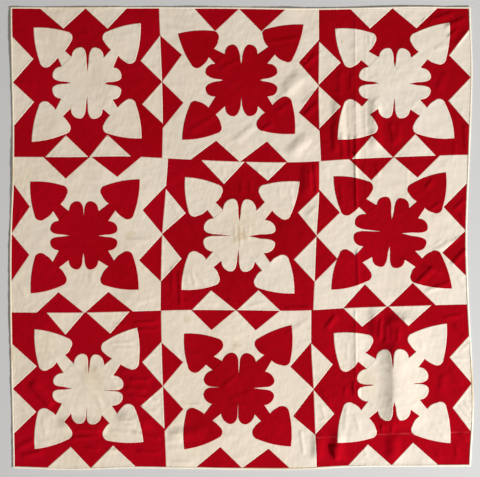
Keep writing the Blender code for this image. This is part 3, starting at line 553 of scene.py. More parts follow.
def heart_half(heart, lobe, stem_half_width, length):
    """One half of a heart from the stem to the tip, as (along, across) from its root."""
    lobe_along, lobe_across = lobe
    radius = heart["lobe_radius"]
    side_swell, back_swell = heart["swells"]
    slope = math.atan2(lobe_across, length - lobe_along)
    slope += math.asin(radius / math.hypot(length - lobe_along, lobe_across))
    back = (heart["back"] - lobe_along, stem_half_width - lobe_across)
    first_bend = math.atan2(back[1], back[0]) % (2.0 * math.pi)
    first_bend -= math.acos(min(radius / math.hypot(*back), 1.0))
    last_bend = math.pi / 2.0 - slope
    arc = []
    for step in range(LOBE_STEPS + 1):
        bend = first_bend + (last_bend - first_bend) * step / LOBE_STEPS
        arc.append((lobe_along + radius * math.cos(bend), lobe_across + radius * math.sin(bend)))
    corner = (heart["back"], stem_half_width)
    points = [corner]
    points += swollen(corner, arc[0], (math.cos(first_bend), math.sin(first_bend)), back_swell, BACK_STEPS)
    points += arc
    outward = (math.sin(slope), math.cos(slope))
    return points + swollen(arc[-1], (length, 0.0), outward, side_swell, SIDE_STEPS)


def heart_frame(block, corner):
    """The way out along the block's diagonal, the heart's root, the way along it and its length."""
    tip = Vector(block[corner]["tip"])
    diagonal = Vector((math.copysign(1.0, tip.x), math.copysign(1.0, tip.y))).normalized()
    diagonal.rotate(Matrix.Rotation(math.radians(-block["turn"]), 2))
    root = diagonal * ROOT_DISTANCE
    return diagonal, root, (tip - root).normalized(), (tip - root).length


def stem_mouth(block):
    """How far from a block's middle its stems leave the centre, along the diagonals."""
    return (block["notch_along"] + block["notch_across"]) / math.sqrt(2.0)


def heart_outline(block, corner):
    """A heart with its stem, which runs in under the centre."""
    heart = block[corner]
    diagonal, root, along_way, length = heart_frame(block, corner)
    edge_way = Vector((-diagonal.y, diagonal.x))
    across_way = Vector((-along_way.y, along_way.x))
    edge_distance = stem_mouth(block)
    edge_half = (block["notch_along"] - block["notch_across"]) / math.sqrt(2.0)
    half_width = min(STEM_ROOT_HALF_WIDTH, edge_half - STEM_ROOT_MARGIN)
    left = [diagonal * (edge_distance + out) + edge_way * half_width for out in (-STEM_TUCK, 0.0)]
    right = [diagonal * (edge_distance + out) - edge_way * half_width for out in (-STEM_TUCK, 0.0)]
    for lobe, stem_half_width, side, way in (
            (heart["left_lobe"], heart["stem_half_widths"][0], left, 1.0),
            (heart["right_lobe"], heart["stem_half_widths"][1], right, -1.0)):
        for along, across in heart_half(heart, lobe, stem_half_width, length):
            side.append(root + along_way * along + across_way * across * way)
    middle = Vector(block["middle"])
    return [tuple(middle + point) for point in right + [Vector(heart["tip"])] + left[::-1]]


def tidied(outline):
    """The outline without points that fall on the one before."""
    kept = []
    for point in outline:
        if not kept or math.dist(point, kept[-1]) > 1e-4:
            kept.append(point)
    if math.dist(kept[0], kept[-1]) < 1e-4:
        kept.pop()
    return kept


def refined(outline, step):
    """The outline as an array, with each of its sides parted into runs no longer than a step."""
    points = []
    for number, start in enumerate(outline):
        end = outline[(number + 1) % len(outline)]
        count = max(int(math.ceil(math.dist(start, end) / step)), 1)
        for part in range(count):
            t = part / count
            points.append((start[0] + (end[0] - start[0]) * t, start[1] + (end[1] - start[1]) * t))
    return np.array(points)


def signed_area(points):
    x, y = points[:, 0], points[:, 1]
    return 0.5 * float(np.sum(x * np.roll(y, -1) - np.roll(x, -1) * y))


def anticlockwise(outline):
    return outline if signed_area(outline) > 0.0 else outline[::-1]


def inward_normals(points):
    """The way in at each point of an anticlockwise outline, longer at corners so that sides stay parallel."""
    ahead = np.roll(points, -1, axis=0) - points
    ahead /= np.linalg.norm(ahead, axis=1)[:, None]
    behind = np.roll(ahead, 1, axis=0)
    both = np.stack((-(ahead + behind)[:, 1], (ahead + behind)[:, 0]), axis=1)
    length = np.linalg.norm(both, axis=1)
    return both / length[:, None] * np.minimum(2.0 / length, 1.8)[:, None]


def measured(x, y, outline):
    """For each point: how far it is from an outline, where along the outline, and whether it is inside."""
    start = outline
    following = np.roll(outline, -1, axis=0)
    run = following - start
    lengths = np.linalg.norm(run, axis=1)
    before = np.concatenate(((0.0,), np.cumsum(lengths)[:-1]))
    distance, place, inside = (np.empty(len(x)) for part in range(3))
    for first in range(0, len(x), 1200):
        part = slice(first, first + 1200)
        dx = x[part, None] - start[None, :, 0]
        dy = y[part, None] - start[None, :, 1]
        t = np.clip((dx * run[:, 0] + dy * run[:, 1]) / lengths ** 2, 0.0, 1.0)
        away = np.hypot(dx - t * run[:, 0], dy - t * run[:, 1])
        nearest = away.argmin(axis=1)
        rows = np.arange(len(nearest))
        distance[part] = away[rows, nearest]
        place[part] = before[nearest] + t[rows, nearest] * lengths[nearest]
        rises = (y[part, None] >= start[None, :, 1]) != (y[part, None] >= following[None, :, 1])
        with np.errstate(divide="ignore", invalid="ignore"):
            crossing = rises & (dx < dy / run[:, 1] * run[:, 0])
        inside[part] = crossing.sum(axis=1) % 2
    return distance, place, inside > 0.5


# The cloth's rise above the surface


def eased(share):
    return share * share * (3.0 - 2.0 * share)


def ridge(x, y, row, taper_length, bend=1.0):
    start, end, height, half_width = row
    along, across, taper = along_and_across(x, y, start, end, taper_length)
    left_width, right_width = half_width if isinstance(half_width, tuple) else (half_width, half_width)
    across = np.clip(np.abs(across) / np.where(across < 0.0, left_width, right_width), 0.0, 1.0)
    return height * np.cos(0.5 * math.pi * across ** bend) ** 2 * taper


def crest(x, y, row, taper_length):
    """A crease with a sharp crest and two flanks of its own widths."""
    start, end, height, left_width, right_width, hollow = row
    along, across, taper = along_and_across(x, y, start, end, taper_length)
    width = np.where(across < 0.0, left_width, right_width)
    rounded = np.sqrt(across * across + CREST_ROUND) - 6.3e-4
    return height * np.clip(1.0 - rounded / width, 0.0, 1.0) ** hollow * taper


def leaning(row):
    """A crease's row as a ridge: its start, end, height, and left and right half-widths."""
    crease = dict(zip(CREASE_COLUMNS, metres(row)))
    start = (crease["from_x"], crease["from_y"])
    end = (crease["to_x"], crease["to_y"])
    widths = (crease["half_width"], CREASE_LEAN * crease["half_width"])
    right_is_lit = LIGHT_WAY[0] * (start[1] - end[1]) + LIGHT_WAY[1] * (end[0] - start[0]) > 0.0
    return start, end, crease["height"], widths if right_is_lit else widths[::-1]


CREASES = [leaning(row) for row in CREASE_ROWS]


def along_and_across(x, y, start, end, taper_length):
    """Where points are beside a crest that runs down the cloth: along it, to its right, and its strength."""
    run = (end[0] - start[0], end[1] - start[1])
    length = math.hypot(*run)
    way = (run[0] / length, run[1] / length)
    along = (x - start[0]) * way[0] + (y - start[1]) * way[1]
    across = (y - start[1]) * way[0] - (x - start[0]) * way[1]
    taper = np.clip(np.minimum(along, length - along) / taper_length, 0.0, 1.0)
    return along, across, eased(taper)


def waves(seed, count, shortest, longest, power):
    """Even random waves, each as (x rate, y rate, phase, strength), with strengths that sum to one."""
    chance = random.Random(seed)
    rows = []
    for number in range(count):
        length = shortest * (longest / shortest) ** (number / (count - 1))
        angle = chance.uniform(0.0, math.pi)
        phase = chance.uniform(0.0, 6.28)
        rate = 2.0 * math.pi / length
        rows.append((rate * math.cos(angle), rate * math.sin(angle), phase, length ** power))
    total = sum(row[3] for row in rows)
    return [(a, b, phase, strength / total) for a, b, phase, strength in rows]


BROAD_WAVES = waves(11, 16, 0.060, 0.60, 0.8)
FINE_WAVES = waves(23, 12, 0.022, 0.060, 0.5)
WARP_WAVES = waves(5, 5, 0.20, 0.70, 0.5)


def rippled(x, y, rows):
    return sum(strength * np.sin(a * x + b * y + phase) for a, b, phase, strength in rows)


def lift(x, y):
    """How far the cloth stands up, from the main folds, the creases and a soft ripple everywhere."""
    height = ridge(x, y, TALL_FOLD, FOLD_TAPER, TALL_FOLD_BEND)
    height = height + sum(ridge(x, y, row, FOLD_TAPER) for row in FOLD_ROWS)
    height = height + sum(ridge(x, y, row, CREASE_TAPER) for row in CREASES)
    height = height + sum(crest(x, y, row, CREASE_TAPER) for row in SHARP_ROWS)
    warp = WARP_REACH * rippled(x, y, WARP_WAVES)
    broad = rippled(x + warp, y - warp, BROAD_WAVES)
    fine = rippled(x - warp, y + warp, FINE_WAVES)
    height = height + BROAD_RISE * broad + FINE_RISE * fine + BASE_RISE
    return 0.5 * (height + np.sqrt(height * height + FLOOR_ROUND))


def below_seam(x, y):
    """How far points are below the pieced seam, and whether they are beside it."""
    seam_x, seam_y = zip(*PIECED_SEAM)
    return np.interp(x, seam_x, seam_y) - y, (x >= seam_x[0]) & (x < seam_x[-1])


def seam_drop(x, y):
    """The pieced seam in the lower right ground: a fine groove with its allowance pressed downward."""
    below, beside = below_seam(x, y)
    half_width, depth = SEAM_GROOVE
    groove = -depth * np.clip(1.0 - np.abs(below) / half_width, 0.0, 1.0)
    within = np.minimum((below - 0.001) / 0.002, (0.010 - below) / 0.003)
    pressed = ALLOWANCE_PRESS * np.clip(within, 0.0, 1.0)
    return beside * (groove + pressed)


def seam_wear(x, y):
    """How worn the cloth is beside the pieced seam, where its turned edge rubs through."""
    below, beside = below_seam(x, y)
    near = np.clip(1.0 - np.abs(below + WEAR_MIDDLE) / WEAR_HALF_WIDTH, 0.0, 1.0)
    return beside * near * (0.42 + 0.25 * np.sin(61.0 * x))


def wavering(place, length, strength, other_length):
    """A wave along an edge, whose own beat wanders."""
    return np.sin(2.0 * math.pi * place / length + strength * np.sin(2.0 * math.pi * place / other_length))


def pucker(place, distance, reach):
    """Small gathers along a sewn line, which fade away from it."""
    beat = wavering(place, 0.0170, 2.3, 0.093) + 0.6 * wavering(place, 0.0290, 1.7, 0.210)
    return beat * np.exp(-distance / reach)


def edge_gather(place, distance):
    """The gathers of a laid-on piece, which leave its very edge level."""
    height, reach = APPLIQUE_GATHER
    return height * pucker(place, distance, reach) * np.clip(distance / 0.001, 0.0, 1.0)


def rim_height(rim, distance):
    return np.interp(distance, [row[0] for row in rim], [row[1] for row in rim])


# Sheets


def feature_rows(low, high):
    """Lines of points along the sharp creases and the pieced seam, so that the mesh holds their form."""
    rows = []
    for start, end, height, left_width, right_width, hollow in SHARP_ROWS:
        rows += [(start, end, offset) for offset in CREASE_OFFSETS]
    for start, end in zip(PIECED_SEAM, PIECED_SEAM[1:]):
        rows += [(start, end, offset) for offset in SEAM_OFFSETS]
    lines = []
    for start, end, offset in rows:
        run = Vector(end) - Vector(start)
        side = Vector((run.y, -run.x)).normalized() * offset
        count = int(run.length / FEATURE_STEP)
        line = np.array([tuple(Vector(start) + side + run * (step / count)) for step in range(count + 1)])
        near = ((line > low - 0.01) & (line < high + 0.01)).all(axis=1)
        if near.any():
            lines.append(line[near])
    return lines


def sheet_points(outline, rim, cell, features):
    """The points and fixed edges of one sheet: its outline, rings inside that, features and a lattice."""
    points = [outline]
    edges = [(number, (number + 1) % len(outline)) for number in range(len(outline))]

    def add_line(line, least_depth, closed):
        distance, place, inside = measured(line[:, 0], line[:, 1], outline)
        kept = inside & (distance > least_depth)
        numbers = np.full(len(line), -1)
        numbers[kept] = sum(len(part) for part in points) + np.arange(kept.sum())
        points.append(line[kept])
        following = np.roll(numbers, -1) if closed else numbers[1:]
        edges.extend((int(a), int(b)) for a, b in zip(numbers, following) if a >= 0 and b >= 0)

    normals = inward_normals(outline)
    for offset, height in rim[1:]:
        add_line(outline + normals * offset, RING_SHARE * offset, True)
    ring_count = len(points)
    margin = rim[-1][0]
    low, high = outline.min(axis=0), outline.max(axis=0)
    for line in feature_rows(low, high) if features else ():
        add_line(line, margin + FEATURE_MARGIN, False)
    laid = points[ring_count:]
    across = np.arange(math.floor(low[0] / cell), math.ceil(high[0] / cell) + 1)
    up = np.arange(math.floor(low[1] / cell), math.ceil(high[1] / cell) + 1)
    grid_x, grid_y = np.meshgrid(across * cell, up * cell)
    grid_x = (grid_x + 0.5 * cell * (up % 2)[:, None]).ravel()
    grid_y = grid_y.ravel()
    distance, place, inside = measured(grid_x, grid_y, outline)
    kept = inside & (distance > margin + CELL_MARGIN * cell)
    grid = np.stack((grid_x[kept], grid_y[kept]), axis=1)
    if laid and len(grid):
        fixed = np.concatenate(laid)
        for first in range(0, len(fixed), CHUNK):
            part = fixed[first:first + CHUNK]
            away = np.hypot(grid[:, None, 0] - part[None, :, 0], grid[:, None, 1] - part[None, :, 1])
            grid = grid[away.min(axis=1) > FEATURE_CLEAR]
    points.append(grid)
    return np.concatenate(points), edges


def triangulated(points, edges, outline_count):
    """Triangles inside the outline, and where each outline point came to be."""
    result = delaunay_2d_cdt([Vector(point) for point in points], edges, [], 1, 1e-7)
    places = np.array([tuple(point) for point in result[0]])
    faces = np.array(result[2], dtype=int)
    found = np.full(outline_count, -1)
    for number, origins in enumerate(result[3]):
        for origin in origins:
            if origin < outline_count:
                found[origin] = number
    a, b, c = (places[faces[:, k]] for k in range(3))
    turned = (b[:, 0] - a[:, 0]) * (c[:, 1] - a[:, 1]) - (b[:, 1] - a[:, 1]) * (c[:, 0] - a[:, 0]) < 0.0
    faces[turned] = faces[turned][:, ::-1]
    return places, faces, found


def sheet_parts(outline, rim, height, cell=CELL, under=None, features=False):
    """One sheet as arrays of points and triangles. With under, it has a lower face and closed sides."""
    outline = anticlockwise(outline)
    points, edges = sheet_points(outline, rim, cell, features)
    flat, faces, found = triangulated(points, edges, len(outline))
    x, y = flat[:, 0], flat[:, 1]
    distance, place, inside = measured(x, y, outline)
    verts = np.stack((x, y, height(x, y, distance, place)), axis=1)
    if under is None:
        return verts, faces
    low_points, low_edges = sheet_points(outline, ((0.0, 0.0),), UNDER_CELL, False)
    low_flat, low_faces, low_found = triangulated(low_points, low_edges, len(outline))
    low_verts = np.stack((low_flat[:, 0], low_flat[:, 1], under(low_flat[:, 0], low_flat[:, 1])), axis=1)
    first = len(verts)
    above, below = found, low_found + first
    sides = []
    for here, ahead, low_here, low_ahead in zip(above, np.roll(above, -1), below, np.roll(below, -1)):
        sides += [(here, low_here, low_ahead), (here, low_ahead, ahead)]
    all_faces = (faces, low_faces[:, ::-1] + first, np.array(sides))
    return np.concatenate((verts, low_verts)), np.concatenate(all_faces)


def joined_object(name, parts, material):
    """A smooth-shaded object from several sets of points and triangles."""
    verts, faces, first = [], [], 0
    for part_verts, part_faces in parts:
        verts.append(part_verts)
        faces.append(part_faces + first)
        first += len(part_verts)
    mesh = bpy.data.meshes.new(name)
    mesh.from_pydata(np.concatenate(verts).tolist(), [], np.concatenate(faces).tolist())
    mesh.polygons.foreach_set("use_smooth", [True] * len(mesh.polygons))
    mesh.materials.append(material)
    mesh.update()
    piece = bpy.data.objects.new(name, mesh)
    bpy.context.scene.collection.objects.link(piece)
    return piece


# Stitches


def whip_stitches(outline, top, ground, skip=None):
    """Small slanting stitches over the edge of a laid-on piece, from its top down into the ground."""
    outline = anticlockwise(outline)
    run = np.roll(outline, -1, axis=0) - outline
    lengths = np.linalg.norm(run, axis=1)
    ends = np.cumsum(lengths)
    count = int(ends[-1] / STITCH_SPACING)
    chance = random.Random(count)
    places = np.array([(number + chance.uniform(-0.18, 0.18)) * ends[-1] / count for number in range(count)])
    segment = np.clip(np.searchsorted(ends, places % ends[-1]), 0, len(outline) - 1)
    along = run[segment] / lengths[segment][:, None]
    t = (places % ends[-1] - (ends[segment] - lengths[segment]))[:, None]
    root = outline[segment] + along * t
    inward = np.stack((-along[:, 1], along[:, 0]), axis=1)
    if skip is not None:
        kept = ~skip(root)
        root, along, inward = root[kept], along[kept], inward[kept]
    stations = []
    for into, slant, proud in STITCH_PATH:
        spot = root + inward * into + along * slant
        base = top(spot[:, 0], spot[:, 1], into) if into > 0.0 else ground(spot[:, 0], spot[:, 1])
        stations.append(np.column_stack((spot, base + proud)))
    return thread_parts(stations, along)


def thread_parts(stations, sideways):
    """Three-sided threads through the stations: sideways is the way across each thread."""
    count = len(stations[0])
    corners = []
    across = np.column_stack((sideways, np.zeros(count)))
    for number, station in enumerate(stations):
        slim = THREAD_RADIUS * (0.55 if number in (0, len(stations) - 1) else 1.0)
        for angle in (90.0, 210.0, 330.0):
            bend = math.radians(angle)
            up = np.array((0.0, 0.0, slim * math.sin(bend)))
            corners.append(station + across * (slim * math.cos(bend)) + up)
    verts = np.stack(corners, axis=1).reshape(-1, 3)
    pattern = []
    for ring in range(len(stations) - 1):
        for side in range(3):
            a, b = ring * 3 + side, ring * 3 + (side + 1) % 3
            pattern += [(a, b, b + 3), (a, b + 3, a + 3)]
    last = (len(stations) - 1) * 3
    pattern += [(0, 2, 1), (last, last + 1, last + 2)]
    faces = (np.array(pattern)[None] + (np.arange(count) * 3 * len(stations))[:, None, None]).reshape(-1, 3)
    return verts, faces


# Materials


class Finish:
    """A material and short ways to add its nodes."""

    def __init__(self, name):
        self.material = bpy.data.materials.new(name)
        self.material.use_nodes = True
        self.tree = self.material.node_tree
        self.shader = self.tree.nodes["Principled BSDF"]
        self.place = self.add("ShaderNodeTexCoord").outputs["Object"]

    def add(self, kind, **settings):
        node = self.tree.nodes.new(kind)
        for key, value in settings.items():
            setattr(node, key, value)
        return node

    def put(self, value, socket):
        if isinstance(value, bpy.types.NodeSocket):
            self.tree.links.new(value, socket)
        else:
            socket.default_value = value

    def math(self, operation, first, second=0.0, third=0.0, clamp=False):
        node = self.add("ShaderNodeMath", operation=operation, use_clamp=clamp)
        for value, socket in zip((first, second, third), node.inputs):
            self.put(value, socket)
        return node.outputs[0]

    def noise(self, scale, detail=2.0, stretch=(1.0, 1.0, 1.0), roughness=0.5):
        mapping = self.add("ShaderNodeMapping")
        mapping.inputs["Scale"].default_value = stretch
        self.put(self.place, mapping.inputs["Vector"])
        node = self.add("ShaderNodeTexNoise")
        node.inputs["Scale"].default_value = scale
        node.inputs["Detail"].default_value = detail
        node.inputs["Roughness"].default_value = roughness
        self.put(mapping.outputs[0], node.inputs["Vector"])
        return node.outputs["Fac"]

    def ranged(self, value, low, high, out_low=0.0, out_high=1.0):
        node = self.add("ShaderNodeMapRange", interpolation_type="SMOOTHSTEP")
        for key, entry in (("Value", value), ("From Min", low), ("From Max", high), ("To Min", out_low),
                           ("To Max", out_high)):
            self.put(entry, node.inputs[key])
        return node.outputs[0]

    def mixed(self, share, first, second, blend="MIX"):
        node = self.add("ShaderNodeMix", data_type="RGBA", blend_type=blend)
        self.put(share, node.inputs[0])
        for value, socket in ((first, node.inputs[6]), (second, node.inputs[7])):
            self.put((*value, 1.0) if isinstance(value, tuple) else value, socket)
        return node.outputs[2]

    def bump(self, height, strength, distance):
        node = self.add("ShaderNodeBump")
        node.inputs["Strength"].default_value = strength
        node.inputs["Distance"].default_value = distance
        self.put(height, node.inputs["Height"])
        return node

    def axis(self, name):
        node = self.add("ShaderNodeSeparateXYZ")
        self.put(self.place, node.inputs[0])
        return node.outputs[name]


# Stains on each cloth, with two patches of painted shade: the middle and the radius in metres, and the
# strength
STAINS_AND_PAINTED_SHADE = {
    "cream": (
        (-0.690, -0.625, 0.060, 0.32), (-0.700, -0.600, 0.030, 0.32), (-0.655, -0.660, 0.045, 0.20),
        (-0.025, -0.490, 0.030, 0.40), (-0.250, -0.366, 0.028, 0.40), (-0.007, 0.014, 0.046, 0.50),
        (-0.010, 0.010, 0.210, 0.16), (0.460, 0.898, 0.011, 0.55), (-0.511, 0.014, 0.030, 0.30),
        # The last cream row is partly a stain and partly painted shade: a darker tan patch on the left of the
        # lower right block's centre, beside the tall fold
        (0.405, -0.480, 0.040, 0.22), (0.560, -0.650, 0.090, 0.22),
    ),
    "red": ((-0.013, 0.011, 0.42, 0.60), (-0.020, -0.680, 0.40, 0.22), (-0.600, -0.620, 0.35, 0.20)),
    "binding": (
        (-1.055, -0.535, 0.055, 0.75), (-1.055, 0.300, 0.080, 0.50), (1.058, -0.660, 0.150, 0.80),
        # The third binding row is painted shade: a tan patch on the right side's binding for the shade in its
        # rolled crease
        (0.200, -1.055, 0.300, 0.35), (-0.750, 1.058, 0.180, 0.40),
    ),
}
STAIN_AND_SHADE_COLOURS = {"cream": (0.56, 0.43, 0.25), "red": (0.270, 0.0006, 0.0030), "binding": (0.60, 0.44, 0.24)}
THREAD_PITCH = {"red": 0.00052, "cream": 0.00060, "binding": 0.00055}
SHADES = {
    "red": {"deep": (0.300, 0.0006, 0.0030), "bright": (0.455, 0.0008, 0.0110)},
    "cream": {"deep": (0.775, 0.668, 0.520), "bright": (0.830, 0.765, 0.685)},
    "binding": {"deep": (0.810, 0.710, 0.540), "bright": (0.870, 0.810, 0.690)},
}
# How the cloth's colour runs, partly faded and partly painted light and shade across the quilt: at the
# middle, to the right and upward (0 is its deep shade and 1 its bright one)
FADES_AND_PAINTED_LIGHT = {"red": (0.46, -0.08, -0.12), "cream": (0.45, 0.20, 0.02), "binding": (0.50, 0.20, -0.10)}


def cotton(name, thread=False):
    """Plain-woven cotton: aged and uneven in colour, with painted light and shade across the quilt, threads,
    slubs and a soft nap.
    """
    finish = Finish(name + ("_thread" if thread else "_cotton"))
    shades = SHADES[name]
    x, y = finish.axis("X"), finish.axis("Y")
    broad = finish.noise(2.6, 3.0)
    patchy = finish.noise(24.0, 4.0, roughness=0.6)
    fade_base, fade_and_light_x, fade_and_light_y = FADES_AND_PAINTED_LIGHT[name]
    # The slopes to the right and upward are partly fading and partly painted light and shade
    fade_and_painted_light = finish.math("MULTIPLY_ADD", x, fade_and_light_x, fade_base)
    fade_and_painted_light = finish.math("MULTIPLY_ADD", y, fade_and_light_y, fade_and_painted_light)
    fade_and_painted_light = finish.math("MULTIPLY_ADD", finish.math("SUBTRACT", broad, 0.5), 0.90, fade_and_painted_light)
    fade_and_painted_light = finish.math("MULTIPLY_ADD", finish.math("SUBTRACT", patchy, 0.5), 0.30, fade_and_painted_light, clamp=True)
    colour = finish.mixed(fade_and_painted_light, shades["deep"], shades["bright"])
    warp = finish.noise(420.0, 2.0, (1.0, 0.045, 1.0))
    weft = finish.noise(420.0, 2.0, (0.045, 1.0, 1.0))
    slub = finish.math("ADD", warp, weft)
    flat = finish.add("ShaderNodeVectorMath", operation="MULTIPLY")
    finish.put(finish.place, flat.inputs[0])
    flat.inputs[1].default_value = (1.0, 1.0, 0.0)
    # Each stain, and each patch of painted shade, draws the colour toward its cloth's darker stain colour
    for middle_x, middle_y, radius, strength in STAINS_AND_PAINTED_SHADE[name]:
        away = finish.add("ShaderNodeVectorMath", operation="DISTANCE")
        finish.put(flat.outputs[0], away.inputs[0])
        away.inputs[1].default_value = (middle_x, middle_y, 0.0)
        spread = finish.math("MULTIPLY_ADD", finish.math("SUBTRACT", patchy, 0.5), min(radius, 0.10) * 1.6,
                             away.outputs["Value"])
        colour = finish.mixed(finish.ranged(spread, radius, radius * 0.15, 0.0, strength), colour,
                              STAIN_AND_SHADE_COLOURS[name])
    if name == "red":
        worn = finish.add("ShaderNodeAttribute", attribute_name="worn").outputs["Fac"]
        colour = finish.mixed(worn, colour, (0.62, 0.045, 0.055))
    share = finish.ranged(slub, 0.80, 1.20, 0.0, 0.12 if name == "red" else 0.05)
    colour = finish.mixed(share, colour, tuple(0.45 * part for part in shades["deep"]))
    finish.put(colour, finish.shader.inputs["Base Color"])
    pitch = 2.0 * math.pi / THREAD_PITCH[name]
    over = finish.math("SINE", finish.math("MULTIPLY", x, pitch))
    under = finish.math("SINE", finish.math("MULTIPLY", y, pitch))
    weave = finish.math("MULTIPLY", over, under)
    fibres = finish.math("MULTIPLY_ADD", slub, 0.9, finish.math("MULTIPLY", weave, 0.5))
    weave_bump = finish.bump(fibres, 0.35, 0.00012)
    soft_bump = finish.bump(finish.noise(55.0, 4.0, roughness=0.55), 0.5, 0.0012)
    finish.put(weave_bump.outputs[0], soft_bump.inputs["Normal"])
    finish.put(soft_bump.outputs[0], finish.shader.inputs["Normal"])
    finish.put(finish.ranged(patchy, 0.3, 0.7, 0.84, 0.95), finish.shader.inputs["Roughness"])
    finish.shader.inputs["Metallic"].default_value = 0.0
    finish.shader.inputs["Specular IOR Level"].default_value = 0.03 if name == "red" else 0.20
    finish.shader.inputs["Sheen Weight"].default_value = 0.0 if name == "red" else 0.06
    finish.shader.inputs["Sheen Roughness"].default_value = 0.5
    return finish.material


# Building


def ground_under(x, y):
    return lift(x, y) + CLEARANCE


def ground_top(x, y):
    return lift(x, y) + GROUND_TOP


def sunk(block, x, y):
    """How far a ground is pressed down where a centre or a heart covers it."""
    depth = np.zeros(len(x))
    outlines = [centre_outline(block)] + [heart_outline(block, corner) for corner in HEART_NAMES]
    for outline in (np.array(outline) for outline in outlines):
        low, high = outline.min(axis=0), outline.max(axis=0)
        near = (x > low[0]) & (x < high[0]) & (y > low[1]) & (y < high[1])
        distance, place, inside = measured(x[near], y[near], outline)
        share = np.clip((distance - SINK_START) / SINK_BLEND, 0.0, 1.0) * inside
        depth[near] = np.maximum(depth[near], SINK * eased(share))
    return depth


def panel_height(rim, seam=False, block=None):
    def height(x, y, distance, place):
        gathered = PANEL_GATHER[0] * pucker(place, distance, PANEL_GATHER[1])
        z = lift(x, y) + GROUND_TOP + rim_height(rim, distance) + gathered * (distance > 0.0003)
        if seam:
            z = z + seam_drop(x, y)
        return z - sunk(block, x, y) if block else z
    return height


def from_mouth(block, corner, x, y):
    """How far out along a stem points are, from where it leaves the centre, and how far across it."""
    diagonal = heart_frame(block, corner)[0]
    edge = diagonal * stem_mouth(block)
    dx = x - block["middle"][0] - edge.x
    dy = y - block["middle"][1] - edge.y
    return dx * diagonal.x + dy * diagonal.y, dy * diagonal.x - dx * diagonal.y


def lap_share(block, x, y):
    """How fully the centre laps over the four stems: 1 on a stem, and 0 away from it."""
    share = np.zeros(len(x))
    for corner in HEART_NAMES:
        outward, across = from_mouth(block, corner, x, y)
        near = np.clip((LAP_REACH[0] + outward) / LAP_REACH[1], 0.0, 1.0) * (outward < MOUTH_OVERLAP)
        beside = np.clip((LAP_HALF_WIDTH[0] - np.abs(across)) / LAP_HALF_WIDTH[1], 0.0, 1.0)
        share = np.maximum(share, eased(near) * eased(beside))
    return share


def centre_height(block):
    def height(x, y, distance, place):
        return centre_surface(block, x, y, distance) + edge_gather(place, distance)
    return height


def centre_surface(block, x, y, distance):
    """The centre's top: where it laps over a stem it stands higher, and its edge is pressed flatter."""
    share = lap_share(block, x, y)
    return ground_top(x, y) + rim_height(APPLIQUE_RIM, distance) * (1.0 - 0.55 * share) + LAP * share


def heart_height(block, corner):
    """A heart's top, held low where its stem runs in under the centre."""
    def height(x, y, distance, place):
        rise = rim_height(APPLIQUE_RIM, distance) + edge_gather(place, distance)
        free = np.clip((from_mouth(block, corner, x, y)[0] - 0.0005) / 0.006, 0.0, 1.0)
        return ground_top(x, y) + np.minimum(rise, STEM_TOP + STEM_RISE * free)
    return height


def laid_over(ground, parts, outline):
    """A laid-on sheet's points and triangles, with no point lower than the ground's own triangles."""
    verts, faces = parts
    distance = measured(verts[:, 0], verts[:, 1], outline)[0]
    for vert, clear in zip(verts, GROUND_MARGIN * np.clip((distance - 0.0002) / 0.0014, 0.0, 1.0)):
        spot = ground.ray_cast(Vector((vert[0], vert[1], 1.0)), Vector((0.0, 0.0, -1.0)))[0]
        if spot is not None:
            vert[2] = max(vert[2], spot.z + clear)
    return verts, faces


def dress(piece, nodes=()):
    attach(piece, "root")
    if nodes:
        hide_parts(*nodes)


def trimmed(outline):
    """A panel's or a patch's outline in short runs, drawn in by half the space between neighbours."""
    outline = anticlockwise(refined(outline, OUTLINE_STEP))
    return outline + inward_normals(outline) * PANEL_GAP


def build_block(block, cottons, threads):
    place = "r{row}c{column}".format(**block)
    ground, face = block["ground"], FACES_OF[block["ground"]]
    seam = block["row"] == 3 and block["column"] == 3

    outline = trimmed(panel_outline(block))
    height = panel_height(PANEL_RIM, seam, block)
    verts, faces = sheet_parts(outline, PANEL_RIM, height, under=ground_under, features=True)
    cloth = joined_object("cloth_ground_" + place, [(verts, faces)], cottons[ground])
    ground_tree = BVHTree.FromPolygons(verts.tolist(), faces.tolist())
    if seam:
        worn = cloth.data.attributes.new("worn", "FLOAT", "POINT")
        worn.data.foreach_set("value", seam_wear(verts[:, 0], verts[:, 1]))
    dress(cloth, ["ground_" + place])
    abs(signed_area(outline))

    parts, widths, depths, area = [], [], [], 0.0
    for triangle in patch_outlines(block):
        outline = trimmed(triangle)
        height = panel_height(PATCH_RIM)
        parts.append(sheet_parts(outline, PATCH_RIM, height, under=ground_under, features=True))
        area += abs(signed_area(outline))
        base = math.dist(triangle[0], triangle[-2])
        widths.append(base)
        depths.append(2.0 * abs(signed_area(outline)) / base)
    patches = joined_object("cloth_patches_" + place, parts, cottons[face])
    dress(patches)

    def lay_on(name, outline, height, way):
        parts = laid_over(ground_tree, sheet_parts(outline, APPLIQUE_RIM, height, features=True), outline)
        piece = joined_object("cloth_" + name, [parts], cottons[face])
        dress(piece, [name])
        abs(signed_area(outline))

    def centre_top(x, y, into):
        return centre_surface(block, x, y, np.full(len(x), into))

    def beside_centre(x, y):
        return ground_top(x, y) + LAP * lap_share(block, x, y)

    def heart_top(x, y, into):
        return ground_top(x, y) + rim_height(APPLIQUE_RIM, np.full(len(x), into))

    outline = refined(centre_outline(block), OUTLINE_STEP)
    lay_on("centre_" + place, outline, centre_height(block), (0.0, 1.0))
    stitching = [whip_stitches(outline, centre_top, beside_centre)]
    for corner in HEART_NAMES:
        def under_centre(spots):
            return from_mouth(block, corner, spots[:, 0], spots[:, 1])[0] < MOUTH_OVERLAP

        outline = refined(heart_outline(block, corner), OUTLINE_STEP)
        along_way = heart_frame(block, corner)[2]
        lay_on("heart_" + place + "_" + corner, outline, heart_height(block, corner), tuple(along_way))
        stitching.append(whip_stitches(outline, heart_top, ground_top, under_centre))
    stitches = joined_object("stitches_" + place, stitching, threads[face])
    dress(stitches)


